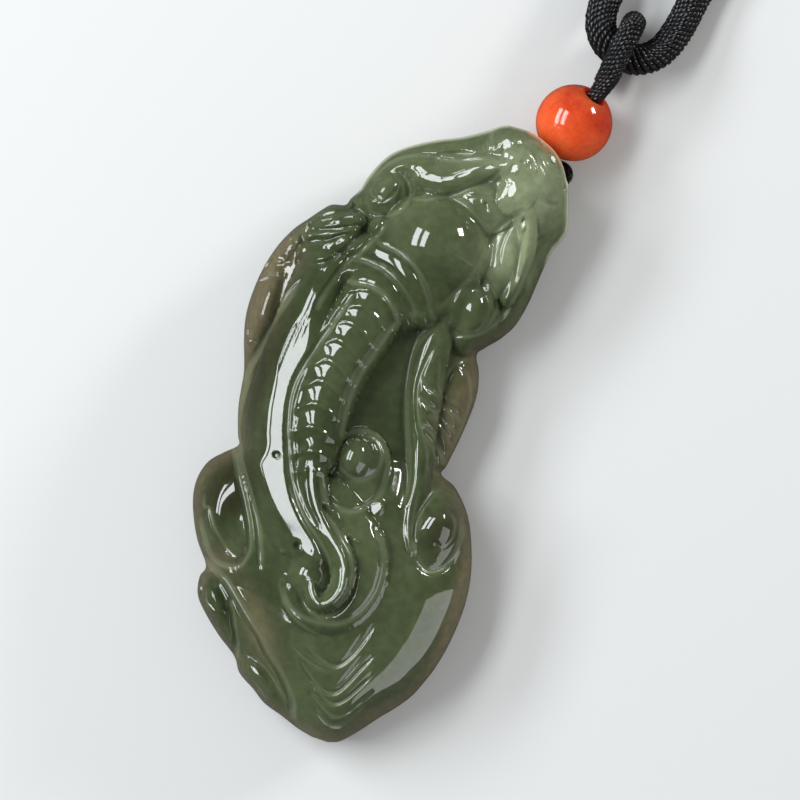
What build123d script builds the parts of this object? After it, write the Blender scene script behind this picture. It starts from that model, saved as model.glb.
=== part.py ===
from build123d import *
import math
import os

import numpy as np

# A jade pixiu pendant lying on its flat back. X runs across the carving, Y from its foot to its head,
# Z up out of the carved face. The origin is under the middle of the stone and bead, on the back.

# The carved stone, in millimetres
jade_length = 66.9
jade_width = 32.0
jade_thickness = 15.0
under_share = 0.36          # how far the flat back stands in from the edge, share of the edge's height
form_blend = 0.55           # rounding where one carved form runs into the next
rib_reach = 1.15            # how far the hollow beside a sharp rib of the spine reaches
rib_height = 0.27
mass_places = 5             # how many places across a section the plain mass is given at
rim_mixing = 0.5            # share of half a section over which one edge's rim runs into the other's

# How finely the carved face is cut into facets
rows_along = 100
places_across = 38
wall_rows = 3
outline_steps = 4
edge_crowding = 1.2         # how much the places across crowd towards the edges
edge_evening = 1.6          # stretch of the edge over which its inward way is evened out

# The agate bead and the drilled holes
bead_diameter = 8.0
bead_bore = 2.2
bead_gap = 0.25             # clear space between the bead and the edge of the head
bore_rise = 28.0            # degrees that the bead's bore tilts up towards the neck rope
hang_turn = 77.0            # degrees from +X to the way from the head's edge to the bead
cord_turn = 71.0            # degrees from +X to the way that the bore and the stem run
hole_diameter = 1.8
hole_overrun = 0.54         # how far each of the two holes runs past where they meet

# The cords
thread_diameter = 0.9
loop_diameter = 2.6
rope_diameter = 3.4
cord_gap = 0.15
knot_diameter = 6.4
knot_length = 13.0
knot_rounding = 1.28
thread_inset = 0.8          # how far inside the top of the bore the thread's two ends stop
first_exit = 0.35           # how far out of the bore the thread runs straight on its way down
second_exit = 0.30          # and on its way back up
arc_share = 0.45            # share of the shorter run beside a bend that the bend's arc may take

# Edge of the stone, a row for each section from the head's top to the foot's tip,
# shares of jade_width and jade_length.
SECTIONS = [
    # left_across, left_along, right_across, right_along
    (0.600, 0.998, 0.660, 1.000),
    (0.572, 0.991, 0.692, 0.998),
    (0.545, 0.981, 0.722, 0.994),
    (0.510, 0.969, 0.770, 0.984),
    (0.462, 0.955, 0.812, 0.966),
    (0.398, 0.940, 0.850, 0.937),
    (0.342, 0.924, 0.873, 0.909),
    (0.295, 0.907, 0.888, 0.890),
    (0.265, 0.891, 0.895, 0.874),
    (0.243, 0.871, 0.889, 0.859),
    (0.227, 0.849, 0.875, 0.842),
    (0.218, 0.829, 0.868, 0.823),
    (0.199, 0.811, 0.865, 0.805),
    (0.188, 0.798, 0.864, 0.793),
    (0.146, 0.791, 0.863, 0.783),
    (0.119, 0.777, 0.862, 0.772),
    (0.090, 0.758, 0.860, 0.756),
    (0.058, 0.737, 0.855, 0.737),
    (0.031, 0.710, 0.842, 0.710),
    (0.013, 0.681, 0.812, 0.684),
    (0.004, 0.655, 0.776, 0.663),
    (0.001, 0.638, 0.758, 0.648),
    (0.000, 0.618, 0.784, 0.624),
    (0.002, 0.596, 0.801, 0.597),
    (0.010, 0.573, 0.806, 0.570),
    (0.027, 0.546, 0.804, 0.540),
    (0.047, 0.521, 0.800, 0.512),
    (0.063, 0.499, 0.794, 0.488),
    (0.073, 0.474, 0.789, 0.468),
    (0.083, 0.449, 0.783, 0.454),
    (0.099, 0.424, 0.838, 0.443),
    (0.116, 0.403, 0.893, 0.418),
    (0.128, 0.389, 0.926, 0.395),
    (0.092, 0.371, 0.955, 0.365),
    (0.055, 0.350, 0.977, 0.336),
    (0.039, 0.323, 0.993, 0.304),
    (0.043, 0.295, 1.000, 0.271),
    (0.066, 0.264, 0.999, 0.236),
    (0.106, 0.229, 0.992, 0.202),
    (0.162, 0.195, 0.979, 0.169),
    (0.155, 0.175, 0.962, 0.143),
    (0.170, 0.147, 0.943, 0.119),
    (0.215, 0.124, 0.920, 0.100),
    (0.280, 0.099, 0.896, 0.084),
    (0.350, 0.077, 0.872, 0.070),
    (0.385, 0.055, 0.850, 0.056),
    (0.445, 0.039, 0.829, 0.042),
    (0.495, 0.024, 0.808, 0.029),
    (0.560, 0.015, 0.787, 0.017),
    (0.625, 0.005, 0.765, 0.007),
    (0.680, 0.000, 0.735, 0.001),
]

# Height of the plain mass at five places across a section and of the rim at its two edges, shares of
# jade_thickness, and the width of the rounding inside each rim, share of jade_width. A row for each
# place along.
MASS = [
    # along, left_edge, left, middle, right, right_edge, left_rim, right_rim, left_round, right_round
    (0.00, 0.34, 0.42, 0.48, 0.48, 0.40, 0.24, 0.24, 0.08, 0.10),
    (0.05, 0.38, 0.52, 0.62, 0.63, 0.50, 0.22, 0.28, 0.08, 0.12),
    (0.10, 0.42, 0.59, 0.72, 0.72, 0.57, 0.22, 0.32, 0.08, 0.13),
    (0.17, 0.46, 0.66, 0.80, 0.78, 0.62, 0.22, 0.36, 0.08, 0.13),
    (0.27, 0.50, 0.70, 0.83, 0.79, 0.62, 0.24, 0.36, 0.10, 0.13),
    (0.36, 0.52, 0.70, 0.80, 0.70, 0.54, 0.26, 0.32, 0.10, 0.10),
    (0.44, 0.50, 0.68, 0.74, 0.61, 0.46, 0.26, 0.26, 0.12, 0.08),
    (0.52, 0.48, 0.66, 0.69, 0.59, 0.44, 0.24, 0.24, 0.12, 0.07),
    (0.60, 0.44, 0.64, 0.69, 0.60, 0.44, 0.22, 0.24, 0.08, 0.07),
    (0.68, 0.42, 0.62, 0.74, 0.60, 0.46, 0.22, 0.28, 0.07, 0.08),
    (0.75, 0.44, 0.60, 0.76, 0.61, 0.48, 0.26, 0.30, 0.06, 0.08),
    (0.82, 0.48, 0.60, 0.73, 0.64, 0.52, 0.30, 0.34, 0.07, 0.09),
    (0.90, 0.52, 0.63, 0.72, 0.71, 0.60, 0.35, 0.46, 0.08, 0.09),
    (0.96, 0.56, 0.65, 0.72, 0.71, 0.62, 0.43, 0.52, 0.07, 0.08),
    (1.00, 0.56, 0.60, 0.64, 0.62, 0.58, 0.52, 0.52, 0.07, 0.08),
]

# Rounded bosses of the carving. Places and half sizes are shares of jade_width across and jade_length
# along, heights are shares of jade_thickness, and the turn is in degrees. Softness 0.5 gives sides
# like a quarter circle and 1 like a parabola.
BOSSES = {
    # name: (across, along, half_across, half_along, turn, rim_height, top_height, softness)
    "head": (0.725, 0.925, 0.175, 0.088, 0, 0.62, 0.83, 1.0),
    "muzzle": (0.635, 0.968, 0.085, 0.032, 15, 0.73, 0.81, 0.8),
    "snout": (0.668, 0.940, 0.050, 0.028, 20, 0.81, 0.87, 1.0),
    "crown": (0.690, 0.902, 0.048, 0.030, -20, 0.80, 0.87, 1.0),
    "horn_root": (0.612, 0.869, 0.075, 0.020, -22, 0.74, 0.83, 0.9),
    "left_curl": (0.303, 0.834, 0.078, 0.041, 0, 0.52, 0.64, 0.40),
    "left_curl_eye": (0.302, 0.836, 0.042, 0.020, 0, 0.625, 0.675, 0.8),
    "nape": (0.512, 0.785, 0.178, 0.080, -6, 0.62, 0.95, 0.62),
    "ear": (0.728, 0.815, 0.066, 0.078, 4, 0.60, 0.75, 0.7),
    "right_curl": (0.702, 0.706, 0.080, 0.052, 20, 0.57, 0.72, 0.6),
    "right_curl_eye": (0.698, 0.712, 0.036, 0.024, 20, 0.69, 0.75, 0.8),
    "left_leaf": (0.190, 0.750, 0.115, 0.050, 38, 0.50, 0.68, 0.6),
    "left_scallop": (0.085, 0.712, 0.085, 0.044, 40, 0.42, 0.58, 0.7),
    "left_wing_tip": (0.050, 0.590, 0.064, 0.088, -4, 0.42, 0.60, 0.6),
    "right_wing": (0.738, 0.565, 0.088, 0.082, 4, 0.42, 0.55, 0.7),
    "middle_curl": (0.515, 0.418, 0.108, 0.064, 0, 0.66, 0.78, 0.5),
    "middle_eye": (0.500, 0.434, 0.056, 0.034, 0, 0.76, 0.87, 0.7),
    "right_haunch": (0.835, 0.368, 0.135, 0.088, -28, 0.46, 0.73, 0.6),
    "right_knee": (0.822, 0.380, 0.070, 0.046, -28, 0.66, 0.77, 0.8),
    "left_haunch": (0.150, 0.290, 0.130, 0.115, -18, 0.42, 0.64, 0.7),
    "tail_eye": (0.500, 0.246, 0.074, 0.040, 0, 0.82, 0.93, 0.7),
    "upper_paw": (0.222, 0.157, 0.085, 0.034, -38, 0.40, 0.62, 0.6),
    "upper_toe": (0.330, 0.118, 0.075, 0.027, -36, 0.40, 0.57, 0.6),
    "lower_paw": (0.425, 0.072, 0.078, 0.030, -30, 0.40, 0.62, 0.6),
    "lower_toe": (0.515, 0.045, 0.066, 0.025, -26, 0.38, 0.54, 0.6),
}

# Raised bands of the carving: first how far a band's sides fall from its crown and how soft they are,
# then its places. Each place is across, along, half_width and crown, as shares of the same four sizes.
BANDS = {
    "outer_lock": (0.12, 0.7, [
        (0.600, 0.985, 0.050, 0.68), (0.500, 0.957, 0.065, 0.67), (0.410, 0.928, 0.065, 0.64),
        (0.330, 0.905, 0.060, 0.60), (0.265, 0.877, 0.045, 0.56), (0.236, 0.845, 0.034, 0.52)]),
    "lock": (0.11, 0.7, [
        (0.640, 0.940, 0.044, 0.84), (0.560, 0.918, 0.052, 0.80), (0.480, 0.899, 0.054, 0.75),
        (0.400, 0.892, 0.052, 0.71), (0.325, 0.890, 0.044, 0.66), (0.262, 0.872, 0.036, 0.62),
        (0.222, 0.840, 0.028, 0.57), (0.228, 0.808, 0.026, 0.54), (0.300, 0.790, 0.030, 0.54)]),
    "under_lock": (0.11, 0.7, [
        (0.665, 0.890, 0.042, 0.83), (0.560, 0.882, 0.055, 0.79), (0.460, 0.866, 0.058, 0.73),
        (0.400, 0.858, 0.046, 0.67)]),
    "cheek": (0.12, 0.8, [
        (0.850, 0.905, 0.080, 0.66), (0.845, 0.860, 0.075, 0.63), (0.838, 0.815, 0.058, 0.60),
        (0.838, 0.765, 0.052, 0.58), (0.822, 0.728, 0.052, 0.58), (0.782, 0.690, 0.050, 0.59),
        (0.715, 0.660, 0.045, 0.60), (0.650, 0.668, 0.034, 0.61)]),
    "ear_rim": (0.08, 0.7, [
        (0.710, 0.890, 0.036, 0.84), (0.756, 0.868, 0.034, 0.79), (0.786, 0.835, 0.030, 0.74),
        (0.797, 0.790, 0.028, 0.70), (0.788, 0.745, 0.026, 0.67)]),
    "fold_upper": (0.10, 0.8, [
        (0.330, 0.778, 0.046, 0.72), (0.420, 0.771, 0.050, 0.82), (0.490, 0.754, 0.054, 0.87),
        (0.545, 0.732, 0.054, 0.86), (0.585, 0.700, 0.044, 0.79)]),
    "fold_middle": (0.10, 0.8, [
        (0.260, 0.738, 0.052, 0.68), (0.350, 0.741, 0.056, 0.80), (0.430, 0.735, 0.060, 0.87),
        (0.495, 0.714, 0.060, 0.88), (0.545, 0.680, 0.052, 0.81)]),
    "fold_lower": (0.10, 0.8, [
        (0.255, 0.702, 0.046, 0.72), (0.340, 0.706, 0.052, 0.82), (0.420, 0.697, 0.054, 0.88),
        (0.495, 0.668, 0.052, 0.83)]),
    "spine": (0.12, 0.9, [
        (0.392, 0.672, 0.110, 0.91), (0.376, 0.630, 0.108, 0.93), (0.360, 0.590, 0.104, 0.94),
        (0.346, 0.545, 0.100, 0.94), (0.346, 0.500, 0.094, 0.94), (0.360, 0.455, 0.084, 0.94),
        (0.382, 0.415, 0.068, 0.93)]),
    "flank": (0.20, 1.0, [
        (0.218, 0.690, 0.105, 0.76), (0.222, 0.640, 0.115, 0.82), (0.226, 0.580, 0.122, 0.86),
        (0.231, 0.520, 0.126, 0.87), (0.243, 0.460, 0.126, 0.88), (0.272, 0.400, 0.124, 0.89),
        (0.318, 0.345, 0.120, 0.91), (0.378, 0.305, 0.110, 0.93), (0.445, 0.275, 0.090, 0.94)]),
    "tail_ridge": (0.07, 0.7, [
        (0.372, 0.425, 0.044, 0.97), (0.395, 0.384, 0.048, 0.97), (0.430, 0.348, 0.048, 0.97),
        (0.485, 0.318, 0.046, 0.97), (0.545, 0.296, 0.044, 0.98), (0.588, 0.268, 0.040, 0.98),
        (0.598, 0.240, 0.036, 0.97), (0.580, 0.217, 0.033, 0.96), (0.540, 0.209, 0.030, 0.95),
        (0.508, 0.224, 0.027, 0.94)]),
    "tail_side": (0.07, 0.8, [
        (0.470, 0.368, 0.062, 0.84), (0.545, 0.342, 0.070, 0.87), (0.625, 0.312, 0.070, 0.89),
        (0.662, 0.278, 0.066, 0.89), (0.662, 0.235, 0.062, 0.88), (0.622, 0.200, 0.058, 0.87),
        (0.560, 0.186, 0.054, 0.86), (0.495, 0.193, 0.048, 0.85), (0.450, 0.214, 0.040, 0.84)]),
    "wing_stem": (0.10, 0.8, [
        (0.600, 0.690, 0.044, 0.66), (0.610, 0.650, 0.058, 0.70), (0.620, 0.605, 0.062, 0.70),
        (0.640, 0.560, 0.060, 0.69), (0.666, 0.515, 0.052, 0.67), (0.695, 0.472, 0.046, 0.66),
        (0.718, 0.430, 0.040, 0.67), (0.727, 0.390, 0.036, 0.70), (0.747, 0.355, 0.032, 0.74),
        (0.777, 0.330, 0.022, 0.76)]),
}

# Ribs of the spine, a row for each rib: both ends and the crest, shares of jade_width and jade_length
RIBS = [
    # left_across, left_along, crest_across, crest_along, right_across, right_along
    (0.300, 0.672, 0.370, 0.684, 0.470, 0.664),
    (0.296, 0.642, 0.360, 0.656, 0.470, 0.634),
    (0.284, 0.614, 0.345, 0.627, 0.450, 0.604),
    (0.268, 0.583, 0.330, 0.596, 0.432, 0.574),
    (0.258, 0.549, 0.318, 0.562, 0.420, 0.542),
    (0.252, 0.512, 0.312, 0.528, 0.415, 0.512),
    (0.256, 0.476, 0.316, 0.492, 0.415, 0.482),
    (0.270, 0.441, 0.330, 0.457, 0.420, 0.450),
    (0.290, 0.408, 0.350, 0.422, 0.425, 0.422),
    (0.318, 0.384, 0.370, 0.394, 0.415, 0.398),
]

hang_section = 3            # the row of SECTIONS at whose right end the bead meets the head


def smooth_between(before, start, end, after, share):
    """A smooth curve's value at a share of the way from start to end, by its two further neighbours."""
    return 0.5 * (2 * start + (end - before) * share
                  + (2 * before - 5 * start + 4 * end - after) * share ** 2
                  + (3 * start - before - 3 * end + after) * share ** 3)


def with_ends(rows):
    """Rows with one more at each end, which carry its last step on."""
    return np.vstack([2 * rows[:1] - rows[1:2], rows, 2 * rows[-1:] - rows[-2:-1]])


def smooth_rows(rows, steps):
    """A smooth run through the rows of a table, with so many steps from each row to the next."""
    table = np.array(rows, dtype=float)
    padded = with_ends(table)
    run = [smooth_between(*four, step / steps)
           for four in zip(padded, padded[1:], padded[2:], padded[3:]) for step in range(steps)]
    return np.array(run + [table[-1]])


def in_millimetres(rows):
    """A table whose first two columns are shares across and along, with those two in millimetres."""
    line = np.array(rows, dtype=float)
    line[:, 0] *= jade_width
    line[:, 1] *= jade_length
    return line


def nearest_on(line, x, y):
    """How far each place lies from a line, and the line's further columns at its nearest point."""
    least = np.full(x.shape, np.inf)
    columns = np.zeros(x.shape + (line.shape[1] - 2,))
    for start, end in zip(line, line[1:]):
        run = end[:2] - start[:2]
        share = np.clip(((x - start[0]) * run[0] + (y - start[1]) * run[1]) / (run @ run), 0, 1)
        distance = np.hypot(x - start[0] - share * run[0], y - start[1] - share * run[1])
        closer = distance < least
        least = np.where(closer, distance, least)
        here = start[2:] + share[..., None] * (end[2:] - start[2:])
        columns = np.where(closer[..., None], here, columns)
    return least, columns


def smooth_higher(first, second):
    """The higher of two surfaces, rounded where they cross."""
    mix = np.maximum(form_blend - np.abs(first - second), 0) / form_blend
    return np.maximum(first, second) + mix ** 2 * form_blend / 4


def swell(share, softness=0.5):
    """Height of a form at a share of the way out from its top, 1 at the top and 0 at its edge."""
    return np.clip(1 - share ** 2, 0, 1) ** softness


def smooth_step(value, low, high):
    """A value's way from low to high, from 0 to 1 with soft ends."""
    share = np.clip((value - low) / (high - low), 0, 1)
    return share * share * (3 - 2 * share)


section_run = smooth_rows(SECTIONS, outline_steps)
left_edge = section_run[:, :2] * (jade_width, jade_length)
right_edge = section_run[:, 2:] * (jade_width, jade_length)
edge_line = np.vstack([left_edge, right_edge[::-1], left_edge[:1]])
mass_run = smooth_rows(MASS, outline_steps)


def mass_at(y):
    """The columns of MASS, in shares, at places along the stone in millimetres."""
    return [np.interp(y / jade_length, mass_run[:, 0], column) for column in mass_run[:, 1:].T]


def mass_height(y, side):
    """Height of the plain mass. side runs from -1 at the left edge to 1 at the right edge."""
    heights = np.array(mass_at(y)[:mass_places])
    place = (side + 1) / 2 * (mass_places - 1)
    first = np.clip(place.astype(int), 0, mass_places - 2)
    four = [np.take_along_axis(with_ends(heights), first[None] + k, 0)[0] for k in range(4)]
    return smooth_between(*four, place - first) * jade_thickness


def rim_at(y, side):
    """Height of the rim, where the carved face meets the rounding under it, and the rounding inside it."""
    left_rim, right_rim, left_round, right_round = mass_at(y)[mass_places:]
    rightwards = smooth_step(side, -rim_mixing, rim_mixing)
    return ((left_rim + (right_rim - left_rim) * rightwards) * jade_thickness,
            (left_round + (right_round - left_round) * rightwards) * jade_width)


def carved_height(x, y, side):
    """Height of the carved face over the flat back."""
    z = mass_height(y, side)
    for across, along, half_across, half_along, turn, rim, top, softness in BOSSES.values():
        c, s = math.cos(math.radians(turn)), math.sin(math.radians(turn))
        dx, dy = x - across * jade_width, y - along * jade_length
        out = np.hypot((dx * c + dy * s) / (half_across * jade_width),
                       (dy * c - dx * s) / (half_along * jade_length))
        boss = (rim + (top - rim) * swell(out, softness)) * jade_thickness
        z = np.where(out < 1, smooth_higher(z, boss), z)
    for fall, softness, places in BANDS.values():
        distance, columns = nearest_on(smooth_rows(in_millimetres(places), outline_steps), x, y)
        out = distance / (columns[..., 0] * jade_width)
        band = (columns[..., 1] - fall * (1 - swell(out, softness))) * jade_thickness
        z = np.where(out < 1, smooth_higher(z, band), z)
    nearest_rib = np.full(x.shape, rib_reach)
    for rib in RIBS:
        line = smooth_rows(in_millimetres([rib[0:2], rib[2:4], rib[4:6]]), outline_steps)
        nearest_rib = np.minimum(nearest_rib, nearest_on(line, x, y)[0])
    z = z + rib_height * (1 - nearest_rib / rib_reach) ** 2
    distance, _ = nearest_on(edge_line, x, y)
    rim, rounding = rim_at(y, side)
    return rim + (z - rim) * swell(1 - np.clip(distance / rounding, 0, 1))


def edge_at(share):
    """Left and right ends of the section at a share of the way from the head's top to the foot's tip."""
    place = share * (len(section_run) - 1)
    numbers = np.arange(len(section_run))
    return [np.stack([np.interp(place, numbers, edge[:, k]) for k in (0, 1)], axis=-1)
            for edge in (left_edge, right_edge)]


def facet(points):
    return Face(Wire.make_polygon([Vector(*p) for p in points], close=True))


def inward_ways(ring):
    """The way in from the edge at each point of a closed ring, evened out over a short stretch."""
    steps = np.linalg.norm(np.diff(ring[:, :2], axis=0, append=ring[:1, :2]), axis=1)
    places = np.concatenate([[0], np.cumsum(steps)])
    closed = np.vstack([ring[:, :2], ring[:1, :2]])

    def at(place):
        place = np.mod(place, places[-1])
        return np.stack([np.interp(place, places, closed[:, k]) for k in (0, 1)], axis=1)

    tangent = at(places[:-1] + edge_evening) - at(places[:-1] - edge_evening)
    inward = np.stack([-tangent[:, 1], tangent[:, 0]], axis=1)
    return inward / np.linalg.norm(inward, axis=1, keepdims=True)


def carved_stone():
    """The stone as facets: the carved face, the rounding under its edge, and the flat back."""
    share = np.linspace(0, 1, rows_along + 1)[1:-1]
    side = np.linspace(-1, 1, places_across + 1)
    side = np.sin(side * edge_crowding) / math.sin(edge_crowding)
    left, right = edge_at(share)
    across = (side[None, :, None] + 1) / 2
    plan = left[:, None, :] * (1 - across) + right[:, None, :] * across
    height = carved_height(plan[..., 0], plan[..., 1], np.broadcast_to(side, plan.shape[:2]))
    face = np.dstack([plan, height])
    poles = []
    for end in (0, -1):
        pole = (left_edge[end] + right_edge[end]) / 2
        poles.append(np.array([*pole, rim_at(pole[1:], np.array([1.0]))[0][0]]))
    top, tip = poles

    # The edge as one ring: down the left side, round the tip, up the right side, round the top
    ring = np.vstack([face[:, 0], tip[None], face[::-1, -1], top[None]])
    inward = inward_ways(ring)
    rings = [ring]
    for row in range(1, wall_rows + 1):
        turn = math.pi / 2 * row / wall_rows
        below = ring.copy()
        below[:, :2] += inward * (ring[:, 2:] * under_share * (1 - math.cos(turn)))
        below[:, 2] *= 1 - math.sin(turn)
        rings.append(below)
    rings[-1][:, 2] = 0

    triangles = []
    for upper, lower in zip(face, face[1:]):
        for a, b, c, d in zip(upper, lower, lower[1:], upper[1:]):
            if abs(a[2] - c[2]) < abs(b[2] - d[2]):
                triangles += [(a, b, c), (a, c, d)]
            else:
                triangles += [(a, b, d), (b, c, d)]
    triangles += [(top, a, b) for a, b in zip(face[0], face[0, 1:])]
    triangles += [(tip, b, a) for a, b in zip(face[-1], face[-1, 1:])]
    for upper, lower in zip(rings, rings[1:]):
        for a, b, c, d in zip(upper, np.roll(upper, -1, 0), np.roll(lower, -1, 0), lower):
            triangles += [(a, d, c), (a, c, b)]
    faces = [facet(points) for points in triangles] + [facet(rings[-1][::-1])]
    return Solid(Shell(faces))


def under_inset(edge, z):
    """How far the rounding under an edge of this height has come in at the height z."""
    return edge * under_share * (1 - math.sqrt(1 - (1 - min(z, edge) / edge) ** 2))


# Where the bead, the drilled holes and the cords lie
def way(turn, rise=0.0):
    """A unit vector turned so many degrees from +X and rising so many degrees from the ground."""
    turn, rise = math.radians(turn), math.radians(rise)
    return np.array([math.cos(turn) * math.cos(rise), math.sin(turn) * math.cos(rise), math.sin(rise)])


bead_radius = bead_diameter / 2
hang_edge = np.array([*SECTIONS[hang_section][2:], 0]) * (jade_width, jade_length, 0)
hang_edge_height = float(rim_at(hang_edge[1:2], np.array([1.0]))[0][0])
bead_reach = bead_radius + bead_gap - under_inset(hang_edge_height, bead_radius)
bead_place = hang_edge + way(hang_turn) * bead_reach + (0, 0, bead_radius)
cord_way = way(cord_turn, bore_rise)
beside = np.cross(cord_way, (0, 0, 1))
beside /= np.linalg.norm(beside)

# The cords' routes, in millimetres from the middle of the bead: across, along, up. The thread comes
# down one side of the bore, goes in at the first hole and out at the second, and goes back up.
bore_side = beside * (thread_diameter + cord_gap) / 2
thread_route = [
    cord_way * (bead_radius - thread_inset) - bore_side,
    -cord_way * (bead_radius + first_exit) - bore_side,
    (-1.54, -4.46, -1.70),
    (-1.32, -6.36, -1.40),
    (1.55, -6.50, -1.40),
    (2.60, -6.05, -1.65),
    (2.72, -4.95, -1.85),
    (1.80, -4.30, -2.05),
    (0.70, -4.50, -2.25),
    (-0.32, -4.44, -2.31),
    -cord_way * (bead_radius + second_exit) + bore_side,
    cord_way * (bead_radius - thread_inset) + bore_side,
]
first_mouth, hole_meeting, second_mouth = 1, 3, 4

loop_route = [
    cord_way * (bead_radius + cord_gap),
    (1.62, 4.75, 2.66),
    (1.72, 6.60, 3.62),
    (2.10, 10.00, 3.74),
    (2.30, 11.85, 1.84),
    (2.30, 11.85, -0.82),
    (2.10, 10.00, -2.62),
    (1.75, 7.10, -2.68),
    (1.50, 5.10, -1.60),
]

rope_route = [
    (-3.3, 291.0, -0.8),
    (-10.0, 290.6, -1.0),
    (-19.0, 283.5, -1.9),
    (-30.0, 267.0, -2.28),
    (-37.0, 238.0, -2.28),
    (-41.0, 190.0, -2.28),
    (-37.0, 142.0, -2.28),
    (-27.5, 99.0, -2.28),
    (-15.5, 64.0, -2.28),
    (-6.6, 39.0, -2.28),
    (-2.0, 24.5, -2.2),
    (-1.0, 16.0, -1.6),
    (-1.4, 11.7, -0.7),
    (-0.2, 9.20, 0.25),
    (2.05, 8.10, 0.56),
    (4.20, 8.35, 0.30),
    (6.00, 9.90, -0.40),
    (7.05, 12.9, -1.40),
    (7.60, 18.5, -2.15),
    (11.0, 30.0, -2.28),
    (19.5, 51.0, -2.28),
    (31.0, 84.0, -2.28),
    (42.0, 129.0, -2.28),
    (48.0, 180.0, -2.28),
    (46.5, 231.0, -2.28),
    (39.0, 266.0, -2.28),
    (27.5, 283.0, -1.9),
    (17.5, 290.5, -1.0),
    (10.3, 291.0, -0.8),
]


def tube(name, route, diameter):
    """A cord as straight runs joined by the largest arcs that the runs allow."""
    points = [Vector(*(bead_place + point)) for point in route]
    radii = []
    for before, corner, after in zip(points, points[1:], points[2:]):
        turn = (corner - before).get_angle(after - corner)
        run = min((corner - before).length, (after - corner).length)
        radii.append(arc_share * run / math.tan(math.radians(turn / 2)))
    path = FilletPolyline(*points, radius=radii)
    cord = sweep(Plane(origin=path @ 0, z_dir=path % 0) * Circle(diameter / 2), path=path)
    share = cord.volume / (math.pi * diameter ** 2 / 4 * path.length)
    print(f"{name}: length {path.length:.1f}, smallest radius {min(radii):.2f}, volume share {share:.4f}")
    return cord


def drilled(solid, start, end, diameter):
    """A solid with a straight hole drilled through it from before one place to another."""
    start, end = Vector(*start), Vector(*end)
    hole = Plane(origin=start, z_dir=end - start) * Cylinder(
        diameter / 2, (end - start).length, align=(Align.CENTER, Align.CENTER, Align.MIN))
    return solid - hole


def pendant_pieces():
    """Every piece of the pendant by its name, still measured from the stone's own corner."""
    corners = [bead_place + point for point in thread_route]
    meeting = corners[hole_meeting]
    stone = carved_stone()
    for mouth in (first_mouth, second_mouth):
        outward = (corners[mouth] - meeting) / np.linalg.norm(corners[mouth] - meeting)
        inner = meeting - outward * hole_overrun
        stone = drilled(stone, inner, corners[mouth] + outward, hole_diameter)
    bore_reach = cord_way * bead_diameter
    bead = Pos(*bead_place) * Sphere(bead_radius)
    bead = drilled(bead, bead_place - bore_reach, bead_place + bore_reach, bead_bore)
    ends = [bead_place + rope_route[end] for end in (0, -1)]
    knot_place = (ends[0] + ends[1]) / 2
    knot = Pos(*knot_place) * Rot(0, 90, 0) * Cylinder(knot_diameter / 2, knot_length)
    knot = fillet(knot.edges(), knot_rounding)
    return {
        "jade_pixiu": stone,
        "agate_bead": bead,
        "bail_thread": tube("bail_thread", thread_route, thread_diameter),
        "bail_loop": tube("bail_loop", loop_route, loop_diameter),
        "neck_rope": tube("neck_rope", rope_route, rope_diameter),
        "rope_knot": knot,
    }


def main():
    os.makedirs("parts", exist_ok=True)
    low = edge_line.min(axis=0)
    high = np.maximum(edge_line.max(axis=0), bead_place[:2] + bead_radius)
    middle = (low + high) / 2
    print(f"middle {middle[0]:.3f}, {middle[1]:.3f}; bead {bead_place - (*middle, 0)}")
    for name, piece in pendant_pieces().items():
        piece = Pos(-middle[0], -middle[1], 0) * piece
        piece.label = name
        export_step(piece, f"parts/{name}.step")
        print(name, "valid", piece.is_valid, "volume", round(piece.volume, 1))


main()
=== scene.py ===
"""A carved jade pixiu pendant, its agate bead and its wound black cords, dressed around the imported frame."""

import logging
import math
from dataclasses import dataclass, field
from enum import Enum

import bpy
import numpy as np
from mathutils import Matrix, Vector


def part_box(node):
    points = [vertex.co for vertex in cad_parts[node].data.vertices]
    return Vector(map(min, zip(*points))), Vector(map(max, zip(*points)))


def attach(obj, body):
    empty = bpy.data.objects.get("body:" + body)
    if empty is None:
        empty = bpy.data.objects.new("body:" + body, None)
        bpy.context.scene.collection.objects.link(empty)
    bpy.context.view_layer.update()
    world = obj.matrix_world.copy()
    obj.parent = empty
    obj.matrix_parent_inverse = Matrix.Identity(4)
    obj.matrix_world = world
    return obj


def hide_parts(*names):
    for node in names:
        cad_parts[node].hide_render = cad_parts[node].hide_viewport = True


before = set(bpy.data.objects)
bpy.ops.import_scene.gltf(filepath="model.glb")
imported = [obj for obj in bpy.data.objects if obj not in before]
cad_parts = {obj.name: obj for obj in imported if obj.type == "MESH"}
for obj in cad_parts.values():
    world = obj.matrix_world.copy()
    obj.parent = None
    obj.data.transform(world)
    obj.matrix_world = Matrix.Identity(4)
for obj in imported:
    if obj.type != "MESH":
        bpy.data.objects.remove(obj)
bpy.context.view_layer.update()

log = logging.getLogger("pendant")

MILLIMETRE = 0.001

# How soft a form is that is a quarter circle from its edge to its top
QUARTER_CIRCLE = 0.5

# Way of the cord up through the bead, in degrees: its turn from +X and its rise from the ground
CORD_WAY = (71.0, 28.0)

Row = tuple[float, ...]
Span = tuple[float, float]
Place = tuple[float, float, float]
Colour = tuple[float, float, float, float]

# The jade's tables. Places are shares of the stone's width across and of its length along,
# heights are shares of its thickness.

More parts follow.
